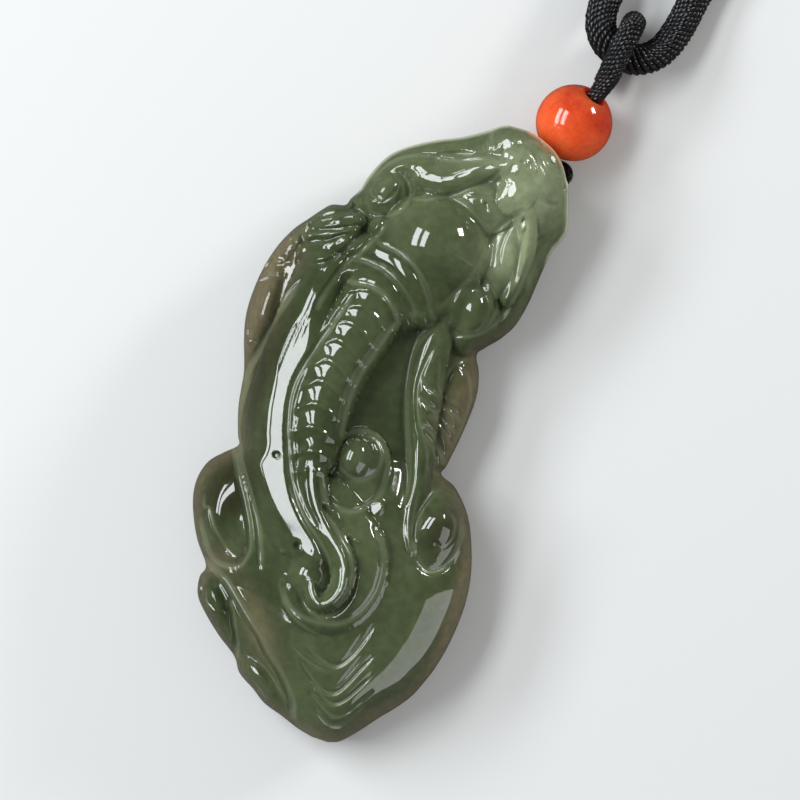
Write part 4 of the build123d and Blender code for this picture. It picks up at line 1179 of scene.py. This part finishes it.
    def cuts(self, x: np.ndarray, y: np.ndarray) -> np.ndarray:
        """How deep the cut lines go, which grow shallow towards their ends.

        Args:
            x: Places across in millimetres.
            y: Places along in millimetres.

        Returns:
            The depths to take off.
        """
        depth = np.zeros_like(x)
        for width, share, places in CUTS.values():
            line = self.scaled(places)
            reach = width * self.cut_width
            distance, _ = nearest_on(line, x, y, reach)
            ends = np.minimum(*[np.hypot(x - end[0], y - end[1]) for end in (line[0], line[-1])])
            fade = self.cut_end_depth + (1 - self.cut_end_depth) * smooth_step(ends, 0.0, self.cut_end)
            groove = swell(distance / reach, self.cut_softness) * fade
            depth = np.maximum(depth, share * self.cut_depth * groove)
        return depth

    def ripple(self, x: np.ndarray, y: np.ndarray) -> np.ndarray:
        """The slight unevenness that grinding and polishing by hand leave."""
        waves = sum(np.sin(across * x + along * y + start) for across, along, start in RIPPLES)
        return self.ripple_height * waves / len(RIPPLES)

    def pits(self, x: np.ndarray, y: np.ndarray) -> np.ndarray:
        """How far into a pit places lie, up to 1 at its bottom.

        Args:
            x: Places across in millimetres.
            y: Places along in millimetres.

        Returns:
            The shares of a pit's depth.
        """
        share = np.zeros_like(x)
        for across, along in PITS:
            away = np.hypot(x - across * self.width, y - along * self.length)
            share = np.maximum(share, 1 - smooth_step(away, self.pit_radius / 2, self.pit_radius))
        return share

    def edge_distance(self, x: np.ndarray, y: np.ndarray, reach: float) -> np.ndarray:
        """How far places lie inside the stone's edge.

        Args:
            x: Places across in millimetres.
            y: Places along in millimetres.
            reach: The furthest distance that matters.

        Returns:
            The distances, which stay at the reach beyond it.
        """
        run = self.section_run
        edge = np.vstack([run[:, :2], run[::-1, 2:], run[:1, :2]])
        return nearest_on(edge, x, y, reach)[0]

    def tints(self, x: np.ndarray, y: np.ndarray, edge: np.ndarray) -> tuple[np.ndarray, np.ndarray]:
        """How much painted see-through glow, pale tint with painted edge highlight, and painted shade the
        stone gets.

        Args:
            x: Places across in millimetres.
            y: Places along in millimetres.
            edge: How far inside the edge they lie.

        Returns:
            The painted see-through glow from 0 to 1, and the pale mask with its painted edge highlight, which
            is below 0 where shade is painted.
        """
        along = y / self.length
        # Painted warm glow near the edge, as if light from behind showed through the thin stone
        painted_glow_edge = (1 - smooth_step(edge, 0.0, self.painted_glow_edge)) * (1 - smooth_step(along, *self.painted_glow_stop))
        warm = self.painted_glow_strength * painted_glow_edge
        # Painted pale highlight just inside the head's edge
        pale = (1 - smooth_step(edge, *self.pale_highlight_edge)) * smooth_step(along, *self.pale_highlight_start)
        # Each tint adds painted warm glow, and pale tint or, below 0, painted shade
        for place_across, place_along, half_across, half_along, turn, more_painted_glow, more_pale in TINTS.values():
            oval = (place_across, place_along, half_across * self.width, half_along * self.length, turn)
            near = np.exp(-self.way_out(x, y, oval) ** 2)
            warm = warm + more_painted_glow * near
            pale = pale + more_pale * near
        return np.clip(warm, 0, 1), np.clip(pale, -1, 1)

    def face(self, x: np.ndarray, y: np.ndarray,
             side: np.ndarray) -> tuple[np.ndarray, dict[str, np.ndarray]]:
        """The carved face at places on the plan.

        Args:
            x: Places across in millimetres, a flat array.
            y: Places along in millimetres, a flat array.
            side: Where each place lies in its section, from -1 to 1.

        Returns:
            The height over the back, and masks of the cuts, the painted see-through glow, the pale tint with
            painted highlight and shade, the pits and the painted rim highlight.
        """
        form = self.forms(x, y, self.mass_height(y, side)) + self.ribs(x, y) + self.ripple(x, y)
        cut = self.cuts(x, y)
        left_rim, right_rim, left_round, right_round = self.mass_columns(y)[MASS_PLACES:]
        rightwards = smooth_step(side, *self.rim_change)
        rim = (left_rim + (right_rim - left_rim) * rightwards) * self.thickness
        rounding = (left_round + (right_round - left_round) * rightwards) * self.width
        edge = self.edge_distance(x, y, rounding.max())
        rise = swell(1 - np.clip(edge / rounding, 0, 1), QUARTER_CIRCLE)
        height = rim + (form - cut - rim) * rise
        speck = self.pits(x, y)
        height = self.facets(x, y, self.chamfers(x, y, height)) - self.pit_depth * speck

        # The glow mask is painted light from behind; the pale mask carries painted shade below 0 and a painted
        # edge highlight
        thin, pale = self.tints(x, y, edge)
        along, across = y / self.length, x / self.width
        on_leaf = smooth_step(along, *self.leaf_start) * (1 - smooth_step(across, *self.leaf_side))
        # Painted rim highlight: a pale line just inside the head's top edge
        rim_highlight = smooth_step(edge, 0.0, self.rim_highlight_rise) * (1 - smooth_step(edge, *self.rim_highlight_fall))
        masks = {"cut": cut / self.cut_depth * (1 - self.leaf_clearing * on_leaf),
                 "thin": thin, "pale": pale, "speck": speck,
                 "rim": rim_highlight * smooth_step(along, *self.rim_highlight_start)}
        return height, masks

    def build(self) -> bpy.types.Object:
        """Builds the stone as one closed mesh.

        Returns:
            The stone, with its masks as attributes.
        """
        run = self.section_run
        rows = np.linspace(0, len(run) - 1, self.rows_along + 1)[1:-1]
        ends = np.stack([np.interp(rows, np.arange(len(run)), column) for column in run.T], axis=1)
        even = np.linspace(-1, 1, self.places_across + 1)
        side = np.sin(even * self.edge_crowding) / math.sin(self.edge_crowding)
        across = (side[None, :, None] + 1) / 2
        plan = ends[:, None, :2] * (1 - across) + ends[:, None, 2:] * across
        tips = np.array([(run[end, :2] + run[end, 2:]) / 2 for end in (0, -1)])
        x = np.append(plan[..., 0].ravel(), tips[:, 0])
        y = np.append(plan[..., 1].ravel(), tips[:, 1])
        sides = np.append(np.broadcast_to(side, plan.shape[:2]).ravel(), np.ones(len(tips)))
        height, masks = self.face(x, y, sides)

        vertices = np.stack([x, y, height], axis=1)
        count, wide = plan.shape[:2]
        number = np.arange(count * wide).reshape(count, wide)
        top, tip = count * wide, count * wide + 1
        ring = [*number[:, 0], tip, *number[::-1, -1], top]
        faces = [(a, b, c, d) for upper, lower in zip(number, number[1:])
                 for a, b, c, d in zip(upper, lower, lower[1:], upper[1:])]
        faces += [(top, a, b) for a, b in zip(number[0], number[0, 1:])]
        faces += [(tip, b, a) for a, b in zip(number[-1], number[-1, 1:])]
        walls, wall_faces, back = self.wall(vertices[ring], ring, len(vertices))
        places = np.vstack([vertices, walls])
        places[:, :2] += self.corner
        stone = new_mesh("carved_jade", (places * MILLIMETRE).tolist(), faces + wall_faces + [back])
        stone.data.polygons[-1].use_smooth = False
        fading = 1 - np.arange(1, self.wall_rows + 1) / self.wall_rows
        for name, mask in masks.items():
            add_mask(stone, f"stone_{name}", np.append(mask, np.outer(fading, mask[ring])))
        return stone

    def wall(self, ring: np.ndarray, numbers: list[int],
             first: int) -> tuple[np.ndarray, list[tuple[int, ...]], tuple[int, ...]]:
        """The rounding under the stone's edge, down to the flat back.

        Args:
            ring: The edge's points.
            numbers: Their vertex numbers.
            first: The number of the first new vertex.

        Returns:
            The new vertices, their faces, and the face of the back.
        """
        steps = np.linalg.norm(np.diff(ring[:, :2], axis=0, append=ring[:1, :2]), axis=1)
        places = np.concatenate([[0], np.cumsum(steps)])
        closed = np.vstack([ring[:, :2], ring[:1, :2]])

        def at(place: np.ndarray) -> np.ndarray:
            """Points of the ring at distances along it."""
            place = np.mod(place, places[-1])
            return np.stack([np.interp(place, places, closed[:, k]) for k in (0, 1)], axis=1)

        tangent = at(places[:-1] + self.edge_evening) - at(places[:-1] - self.edge_evening)
        inward = np.stack([-tangent[:, 1], tangent[:, 0]], axis=1)
        inward /= np.linalg.norm(inward, axis=1, keepdims=True)
        rings = []
        for row in range(1, self.wall_rows + 1):
            turn = math.pi / 2 * row / self.wall_rows
            below = ring.copy()
            below[:, :2] += inward * (ring[:, 2:] * self.under_share * (1 - math.cos(turn)))
            below[:, 2] *= 1 - math.sin(turn)
            rings.append(below)
        rings[-1][:, 2] = 0
        size = len(ring)
        rows = [numbers] + [list(range(first + k * size, first + (k + 1) * size))
                            for k in range(self.wall_rows)]
        faces = []
        for upper, lower in zip(rows, rows[1:]):
            for k in range(size):
                after = (k + 1) % size
                faces.append((upper[k], lower[k], lower[after], upper[after]))
        return np.vstack(rings), faces, tuple(rows[-1][::-1])

    def dress(self, stone: bpy.types.Object, finish: bpy.types.Material) -> None:
        """Gives the stone its finish and its place on the frame.

        Args:
            stone: The finished stone.
            finish: Its material.
        """
        stone.data.materials.append(finish)
        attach(stone, "root")
        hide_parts("jade_pixiu")


@dataclass
class AgateBead:
    """The round bead with its drilled bore, whose mouths are slightly rounded."""

    place: Vector
    way: Vector
    radius: float
    bore: float = 0.0011
    mouth: float = 0.00022
    mouth_start: float = 0.5
    mouth_rows: int = 4
    around: int = 96
    rows: int = 64
    # Way towards the bead's side that gets the painted glow
    painted_glow_way: Vector = direction(-105.0)

    def outline(self) -> list[tuple[float, float]]:
        """The bead's section from the bore out, as a closed line.

        Returns:
            The line's points: distance from the bore's axis, and height along it.
        """
        reach = self.bore + self.mouth
        start = math.asin(reach / self.radius)
        profile = [(self.radius * math.sin(turn), self.radius * math.cos(turn))
                   for turn in np.linspace(start, math.pi - start, self.rows)]
        height = self.radius * math.cos(start)
        for end in (-1, 1):
            corner = [(reach - self.mouth * math.sin(turn),
                       end * (height - self.mouth * (1 - math.cos(turn))))
                      for turn in np.linspace(self.mouth_start, math.pi / 2, self.mouth_rows)]
            profile = profile + corner if end < 0 else corner[::-1] + profile
        return profile

    def build(self) -> bpy.types.Object:
        """Turns the bead's outline round its bore.

        Returns:
            The bead.
        """
        profile = self.outline()
        turn_to_way = Vector((0, 0, 1)).rotation_difference(self.way).to_matrix()
        vertices = []
        for turn in np.linspace(0, math.tau, self.around, endpoint=False):
            for out, up in profile:
                local = Vector((out * math.cos(turn), out * math.sin(turn), up))
                vertices.append(self.place + turn_to_way @ local)
        size = len(profile)
        faces = []
        for k in range(self.around):
            here, there = k * size, (k + 1) % self.around * size
            for row in range(size):
                after = (row + 1) % size
                faces.append((here + row, here + after, there + after, there + row))
        bead = new_mesh("agate_bead_round", vertices, faces)
        # How far each vertex lies towards the painted glow's side
        add_mask(bead, "agate_painted_glow",
                 [(vertex - self.place).dot(self.painted_glow_way) / self.radius for vertex in vertices])
        return bead

    def dress(self, bead: bpy.types.Object, finish: bpy.types.Material) -> None:
        """Gives the bead its finish and its place on the frame.

        Args:
            bead: The finished bead.
            finish: Its material.
        """
        bead.data.materials.append(finish)
        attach(bead, "root")
        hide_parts("agate_bead")


def winding_tree() -> bpy.types.NodeTree:
    """Geometry nodes that wind a thread round a core along a path, both tapered at the path's two ends.

    Returns:
        The tree.
    """
    tree, kit, given, result = new_group(
        "thread_winding", "GeometryNodeTree",
        {"Path": ("NodeSocketGeometry", None), "Radius": ("NodeSocketFloat", 0.0017),
         "Start Radius": ("NodeSocketFloat", 0.0017), "End Radius": ("NodeSocketFloat", 0.0017),
         "Taper": ("NodeSocketFloat", 0.004), "Thread Radius": ("NodeSocketFloat", 0.00036),
         "Pitch": ("NodeSocketFloat", 0.0006), "Threads": ("NodeSocketInt", 1),
         "Turn Steps": ("NodeSocketInt", 12), "Thread Sides": ("NodeSocketInt", 6),
         "Core Sides": ("NodeSocketInt", 10), "Finish": ("NodeSocketMaterial", None)},
        {"Geometry": "NodeSocketGeometry"})
    value = given.outputs
    length = kit.add("GeometryNodeCurveLength", {0: value["Path"]}).outputs[0]
    lead = kit.math("MULTIPLY", value["Pitch"], value["Threads"])
    count = kit.math("MULTIPLY", kit.math("DIVIDE", length, lead), value["Turn Steps"])
    line = kit.add("GeometryNodeResampleCurve", {"Curve": value["Path"], "Count": count}).outputs[0]
    lines = kit.add("GeometryNodeDuplicateElements", {"Geometry": line, "Amount": value["Threads"]},
                    domain="SPLINE")
    parameter = kit.add("GeometryNodeSplineParameter").outputs

    def lost(place: bpy.types.NodeSocket, end: str) -> bpy.types.NodeSocket:
        """What one end's taper takes off the full radius at a place."""
        less = kit.math("SUBTRACT", value["Radius"], value[end])
        return kit.ramp(place, 0.0, value["Taper"], less, 0.0)

    from_end = kit.math("SUBTRACT", length, parameter["Length"])
    radius = kit.math("SUBTRACT", value["Radius"], lost(parameter["Length"], "Start Radius"))
    radius = kit.math("SUBTRACT", radius, lost(from_end, "End Radius"))
    middle = kit.math("SUBTRACT", radius, value["Thread Radius"])
    start = kit.math("DIVIDE", lines.outputs["Duplicate Index"], value["Threads"])
    along = kit.math("DIVIDE", parameter["Index"], value["Turn Steps"])
    turn = kit.math("MULTIPLY", kit.math("ADD", start, along), math.tau)
    normal = kit.add("GeometryNodeInputNormal").outputs[0]
    tangent = kit.add("GeometryNodeInputTangent").outputs[0]
    beside = kit.vector("CROSS_PRODUCT", {0: tangent, 1: normal})
    outward = [kit.vector("SCALE", {0: way, "Scale": kit.math("MULTIPLY", part, middle)})
               for way, part in ((normal, kit.math("COSINE", turn)), (beside, kit.math("SINE", turn)))]
    offset = kit.vector("ADD", dict(enumerate(outward)))
    helix = kit.add("GeometryNodeSetPosition", {"Geometry": lines.outputs[0], "Offset": offset}).outputs[0]
    helix_place = kit.add("GeometryNodeSplineParameter").outputs["Length"]
    helix = kit.add("GeometryNodeStoreNamedAttribute",
                    {"Geometry": helix, "Name": "thread_along", "Value": helix_place},
                    data_type="FLOAT", domain="POINT").outputs[0]
    ring = kit.add("GeometryNodeCurvePrimitiveCircle",
                   {"Resolution": value["Thread Sides"], "Radius": value["Thread Radius"]}).outputs[0]
    share = kit.math("MULTIPLY", kit.add("GeometryNodeSplineParameter").outputs["Factor"], math.tau)
    around = kit.add("ShaderNodeCombineXYZ", {0: kit.math("COSINE", share), 1: kit.math("SINE", share)})
    ring = kit.add("GeometryNodeStoreNamedAttribute",
                   {"Geometry": ring, "Name": "thread_around", "Value": around.outputs[0]},
                   data_type="FLOAT_VECTOR", domain="POINT").outputs[0]
    thread = kit.add("GeometryNodeCurveToMesh", {"Curve": helix, "Profile Curve": ring, "Fill Caps": True})
    core_ring = kit.add("GeometryNodeCurvePrimitiveCircle",
                        {"Resolution": value["Core Sides"], "Radius": 1.0}).outputs[0]
    core = kit.add("GeometryNodeCurveToMesh", {"Curve": line, "Profile Curve": core_ring, "Scale": middle,
                                               "Fill Caps": True})
    both = kit.add("GeometryNodeJoinGeometry")
    for part in (thread, core):
        kit.feed(both, {0: part.outputs[0]})
    whole = kit.add("GeometryNodeRealizeInstances", {0: both.outputs[0]}).outputs[0]
    smooth = kit.add("GeometryNodeSetShadeSmooth", {0: whole}).outputs[0]
    finished = kit.add("GeometryNodeSetMaterial", {"Geometry": smooth, "Material": value["Finish"]})
    kit.feed(result, {0: finished.outputs[0]})
    return tree


@dataclass
class WoundCord:
    """A cord wound with thread, along a route of given points that a smooth spline follows."""

    name: str
    node: str
    slot: str
    route: list[Place]
    radius: float
    start_radius: float
    end_radius: float
    taper: float
    thread_radius: float
    pitch: float
    threads: int
    turn_steps: int = 12
    thread_sides: int = 6
    route_order: int = 3
    route_steps: int = 24

    def line(self) -> bpy.types.Object:
        """The cord's line.

        Returns:
            A smooth open spline with the route's points as control points.
        """
        curve = bpy.data.curves.new(self.name + "_line", "CURVE")
        curve.dimensions = "3D"
        spline = curve.splines.new("NURBS")
        spline.points.add(len(self.route) - 1)
        for point, place in zip(spline.points, self.route):
            point.co = (*place, 1.0)
        spline.order_u = self.route_order
        spline.use_endpoint_u = True
        spline.resolution_u = self.route_steps
        return linked(curve.name, curve)

    def build(self, tree: bpy.types.NodeTree, finish: bpy.types.Material) -> bpy.types.Object:
        """Winds the thread along the line and keeps the result as a plain mesh.

        Args:
            tree: The geometry nodes that wind a thread.
            finish: The thread's material.

        Returns:
            The wound cord.
        """
        line = self.line()
        modifier = line.modifiers.new("winding", "NODES")
        modifier.node_group = tree
        values = {"Radius": self.radius, "Start Radius": self.start_radius, "End Radius": self.end_radius,
                  "Taper": self.taper, "Thread Radius": self.thread_radius, "Pitch": self.pitch,
                  "Threads": self.threads, "Turn Steps": self.turn_steps, "Thread Sides": self.thread_sides,
                  "Finish": finish}
        for item in tree.interface.items_tree:
            if item.in_out == "INPUT" and item.name in values:
                modifier[item.identifier] = values[item.name]
        graph = bpy.context.evaluated_depsgraph_get()
        mesh = bpy.data.meshes.new_from_object(line.evaluated_get(graph), depsgraph=graph)
        mesh.name = self.name
        bpy.data.objects.remove(line)
        return linked(self.name, mesh)

    def dress(self, cord: bpy.types.Object) -> None:
        """Gives the cord its place on the frame.

        Args:
            cord: The wound cord.
        """
        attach(cord, "root")
        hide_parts(self.node)


@dataclass
class Cords:
    """The four pieces of cord, all placed from the middle of the bead, in metres."""

    bead: Vector
    way: Vector
    bead_radius: float
    strand_offset: float = 0.000525
    thread_inset: float = 0.0008
    first_exit: float = 0.00035
    second_exit: float = 0.00030
    stem_inset: float = 0.0003
    laid: float = -0.00228
    knot_along: float = 0.2910
    knot_level: float = -0.0008

    def placed(self, offsets: list) -> list[Place]:
        """A route's places from its offsets from the middle of the bead."""
        return [tuple(self.bead + Vector(offset)) for offset in offsets]

    def thread(self) -> WoundCord:
        """The thin thread down through the bead, through the hole in the head, and back up.

        Returns:
            The thread.
        """
        beside = self.way.cross(Vector((0, 0, 1))).normalized() * self.strand_offset
        inside = self.way * (self.bead_radius - self.thread_inset)
        offsets = [
            inside - beside,
            -self.way * (self.bead_radius + self.first_exit) - beside,
            (-0.00154, -0.00446, -0.00170), (-0.00132, -0.00636, -0.00140),
            (0.00075, -0.00620, -0.00140), (0.00145, -0.00585, -0.00150),
            (0.00150, -0.00510, -0.00165), (0.00095, -0.00450, -0.00190),
            (0.00035, -0.00440, -0.00220), (-0.00032, -0.00444, -0.00231),
            -self.way * (self.bead_radius + self.second_exit) + beside,
            inside + beside,
        ]
        return WoundCord("thin_bail_thread", "bail_thread", "thin_cord", self.placed(offsets),
                         radius=0.00045, start_radius=0.00045, end_radius=0.00045, taper=0.001,
                         thread_radius=0.00013, pitch=0.00021, threads=2, turn_steps=10, thread_sides=5)

    def loop(self) -> WoundCord:
        """The wound stem that comes out of the bead, goes over the neck rope and back under it.

        Returns:
            The stem.
        """
        offsets = [
            self.way * (self.bead_radius - self.stem_inset),
            (0.00162, 0.00475, 0.00266), (0.00172, 0.00660, 0.00362), (0.00210, 0.01000, 0.00374),
            (0.00230, 0.01185, 0.00184), (0.00230, 0.01185, -0.00082), (0.00210, 0.01000, -0.00262),
            (0.00175, 0.00710, -0.00268), (0.00150, 0.00510, -0.00160),
        ]
        return WoundCord("wound_bail_loop", "bail_loop", "wound_cord", self.placed(offsets),
                         radius=0.00130, start_radius=0.00095, end_radius=0.00110, taper=0.004,
                         thread_radius=0.00029, pitch=0.00048, threads=7)

    def rope(self) -> WoundCord:
        """The neck rope, a whole loop laid on the ground.

        Returns:
            The rope.
        """
        laid, end, level = self.laid, self.knot_along, self.knot_level
        offsets = [
            (-0.0033, end, level), (-0.0100, 0.2906, -0.0010), (-0.0190, 0.2835, -0.0019),
            (-0.0300, 0.2670, laid), (-0.0370, 0.2380, laid), (-0.0410, 0.1900, laid),
            (-0.0370, 0.1420, laid), (-0.0275, 0.0990, laid), (-0.0155, 0.0640, laid),
            (-0.0066, 0.0390, laid), (-0.0020, 0.0245, -0.0022), (-0.0010, 0.0160, -0.0016),
            (-0.0014, 0.0117, -0.0007), (-0.0002, 0.0092, 0.00025), (0.00205, 0.0081, 0.00056),
            (0.0042, 0.00835, 0.0003), (0.0060, 0.0099, -0.0004), (0.00705, 0.0129, -0.0014),
            (0.0076, 0.0185, -0.00215), (0.0110, 0.0300, laid), (0.0195, 0.0510, laid),
            (0.0310, 0.0840, laid), (0.0420, 0.1290, laid), (0.0480, 0.1800, laid),
            (0.0465, 0.2310, laid), (0.0390, 0.2660, laid), (0.0275, 0.2830, -0.0019),
            (0.0175, 0.2905, -0.0010), (0.0103, end, level),
        ]
        return WoundCord("wound_neck_rope", "neck_rope", "wound_cord", self.placed(offsets),
                         radius=0.0017, start_radius=0.0017, end_radius=0.0017, taper=0.004,
                         thread_radius=0.00034, pitch=0.00060, threads=8)

    def knot(self) -> WoundCord:
        """The sliding knot, a barrel of turns of cord round the rope's two ends.

        Returns:
            The knot.
        """
        offsets = [(across, self.knot_along, self.knot_level) for across in (-0.00295, 0.0035, 0.00995)]
        return WoundCord("wound_rope_knot", "rope_knot", "wound_cord", self.placed(offsets),
                         radius=0.0032, start_radius=0.0024, end_radius=0.0024, taper=0.0018,
                         thread_radius=0.00095, pitch=0.00175, threads=1, turn_steps=28, thread_sides=12)


@dataclass(frozen=True)
class Panel:
    """A soft rectangular light: the way to it as the camera sees it, its size, power and colour."""

    name: str
    way: Place
    size: Span
    power: float
    tint: Place


@dataclass
class Studio:
    """The camera, the pale floor and the lights."""

    turn: float = 20.0
    aim: Place = (0.00233, -0.00059, 0.005)
    distance: float = 0.42
    frame_width: float = 0.0833
    sensor_width: float = 36.0
    nearest: float = 0.01
    floor_half: float = 1.5
    floor_drop: float = 0.00002
    floor_tone: Colour = (0.66, 0.66, 0.65, 1.0)
    floor_in_polish: Colour = (0.12, 0.115, 0.11, 1.0)
    floor_roughness: float = 0.9
    floor_shine: float = 0.1
    sky_tone: Colour = (0.96, 0.98, 1.0, 1.0)
    sky_strength: float = 0.42
    sky_in_polish: float = 0.10
    light_distance: float = 0.60
    panels: tuple[Panel, ...] = (
        Panel("window_left", (-0.74, 0.33, 0.58), (0.13, 0.46), 2.2, (0.93, 0.97, 1.0)),
        Panel("window_right", (-0.50, 0.26, 0.82), (0.13, 0.46), 2.2, (0.93, 0.97, 1.0)),
        Panel("key", (0.77, 0.50, 0.33), (0.10, 0.15), 1.6, (1.0, 0.99, 0.97)),
    )
    card_place: Place = (0.095, -0.060, 0.050)
    card_size: Span = (0.120, 0.100)
    card_turn: Place = (90.0, 0.0, 90.0)
    card_glow: float = 2.1
    flag_start: Place = (0.0185, -0.0105, 0.0)
    flag_end: Place = (0.094, -0.0005, 0.11)
    flag_tone: Colour = (0.01, 0.01, 0.01, 1.0)

    def camera(self) -> None:
        """Puts the camera above the pendant at the photograph's angle."""
        data = bpy.data.cameras.new("camera")
        data.sensor_width = self.sensor_width
        data.lens = self.sensor_width * self.distance / self.frame_width
        data.clip_start = self.nearest
        camera = linked("camera", data)
        camera.location = Vector(self.aim) + Vector((0, 0, self.distance))
        camera.rotation_euler = (0, 0, math.radians(self.turn))
        bpy.context.scene.camera = camera

    def floor(self) -> None:
        """Lays a plain pale floor, which looks darker in the polish than by itself."""
        half, level = self.floor_half, -self.floor_drop
        corners = [(-half, -half, level), (half, -half, level), (half, half, level), (-half, half, level)]
        floor = new_mesh("floor", corners, [(0, 1, 2, 3)], smooth=False)
        material, kit, shader = new_material("pale_floor")
        tone = kit.mix(kit.glossy_ray(), self.floor_tone, self.floor_in_polish)
        kit.feed(shader, {"Base Color": tone, "Roughness": self.floor_roughness,
                          "Specular IOR Level": self.floor_shine})
        floor.data.materials.append(material)

    def area_light(self, name: str, size: Span, power: float) -> bpy.types.Object:
        """Adds a rectangular light that the camera doesn't see.

        Args:
            name: The light's name.
            size: Its width and height in metres.
            power: Its power in watts.

        Returns:
            The light, at the origin.
        """
        data = bpy.data.lights.new(name, "AREA")
        data.shape = "RECTANGLE"
        data.size, data.size_y = size
        data.energy = power
        light = linked(name, data)
        light.visible_camera = False
        return light

    def stand(self, panel: Panel) -> None:
        """Stands a panel so that it faces the pendant, with its height along the stone.

        Args:
            panel: The panel.
        """
        light = self.area_light(panel.name, panel.size, panel.power)
        light.data.color = panel.tint
        way = Matrix.Rotation(math.radians(self.turn), 3, "Z") @ Vector(panel.way)
        back = way.normalized()
        beside = Vector((0, 1, 0)).cross(back).normalized()
        light.location = Vector(self.aim) + back * self.light_distance
        light.rotation_euler = Matrix((beside, back.cross(beside), back)).transposed().to_euler()

    def card(self) -> None:
        """Stands a dim white card beside the stone's foot, which shows only in the polish."""
        power = self.card_glow * math.pi * self.card_size[0] * self.card_size[1]
        card = self.area_light("card", self.card_size, power)
        card.location = self.card_place
        card.rotation_euler = [math.radians(turn) for turn in self.card_turn]
        card.visible_diffuse = False

    def flag(self) -> None:
        """Stands a black flag that keeps the card's reflection off the upper half of the stone."""
        (near_x, near_y, low), (far_x, far_y, high) = self.flag_start, self.flag_end
        corners = [(near_x, near_y, low), (far_x, far_y, low), (far_x, far_y, high), (near_x, near_y, high)]
        flag = new_mesh("flag", corners, [(0, 1, 2, 3)], smooth=False)
        material, kit, shader = new_material("flag_black")
        kit.feed(shader, {"Base Color": self.flag_tone, "Roughness": 1.0, "Specular IOR Level": 0.0})
        flag.data.materials.append(material)
        flag.visible_camera = False
        flag.visible_diffuse = False
        flag.visible_shadow = False
        flag.visible_transmission = False

    def light(self) -> None:
        """Sets the soft studio lights and the even light all round."""
        for panel in self.panels:
            self.stand(panel)
        self.card()
        self.flag()
        world = bpy.data.worlds.new("even_light")
        world.use_nodes = True
        kit = NodeKit(world.node_tree)
        strength = kit.add("ShaderNodeMix", {0: kit.glossy_ray(), 2: self.sky_strength,
                                             3: self.sky_in_polish}).outputs[0]
        kit.feed(world.node_tree.nodes["Background"], {"Strength": strength, "Color": self.sky_tone})
        bpy.context.scene.world = world
        bpy.context.scene.view_settings.view_transform = "Standard"


def report(piece: bpy.types.Object) -> None:
    """Tells a finished piece's name and size."""
    log.info("%s: %d vertices, %d faces", piece.name, len(piece.data.vertices), len(piece.data.polygons))


def main() -> None:
    """Builds and dresses every piece, and lights the scene."""
    logging.basicConfig(level=logging.INFO, format="%(name)s: %(message)s")
    studio = Studio()
    studio.camera()
    bead_low, bead_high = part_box("agate_bead")
    bead_place = (bead_low + bead_high) / 2
    bead_radius = (bead_high.z - bead_low.z) / 2
    cord_way = direction(*CORD_WAY)

    winding = winding_tree()
    fibres = fibre_group()
    wound = ThreadFinish(Thread.WOUND).make(fibres)
    fine = ThreadFinish(Thread.FINE).make(fibres)
    cords = Cords(bead_place, cord_way, bead_radius)
    for cord, finish in ((cords.thread(), fine), (cords.loop(), wound), (cords.rope(), wound),
                         (cords.knot(), wound)):
        piece = cord.build(winding, finish)
        cord.dress(piece)
        report(piece)

    # The stone's tables start as far below the frame's origin as the bead reaches above it
    depth = cloud_group()
    stone_low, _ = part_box("jade_pixiu")
    carving = CarvedStone(corner=(stone_low.x / MILLIMETRE, -bead_high.y / MILLIMETRE))
    stone = carving.build()
    carving.dress(stone, JadeFinish().make(depth))
    report(stone)

    round_bead = AgateBead(bead_place, cord_way, bead_radius)
    bead = round_bead.build()
    round_bead.dress(bead, AgateFinish().make(depth))
    report(bead)

    studio.floor()
    studio.light()


if __name__ == "__main__":
    main()
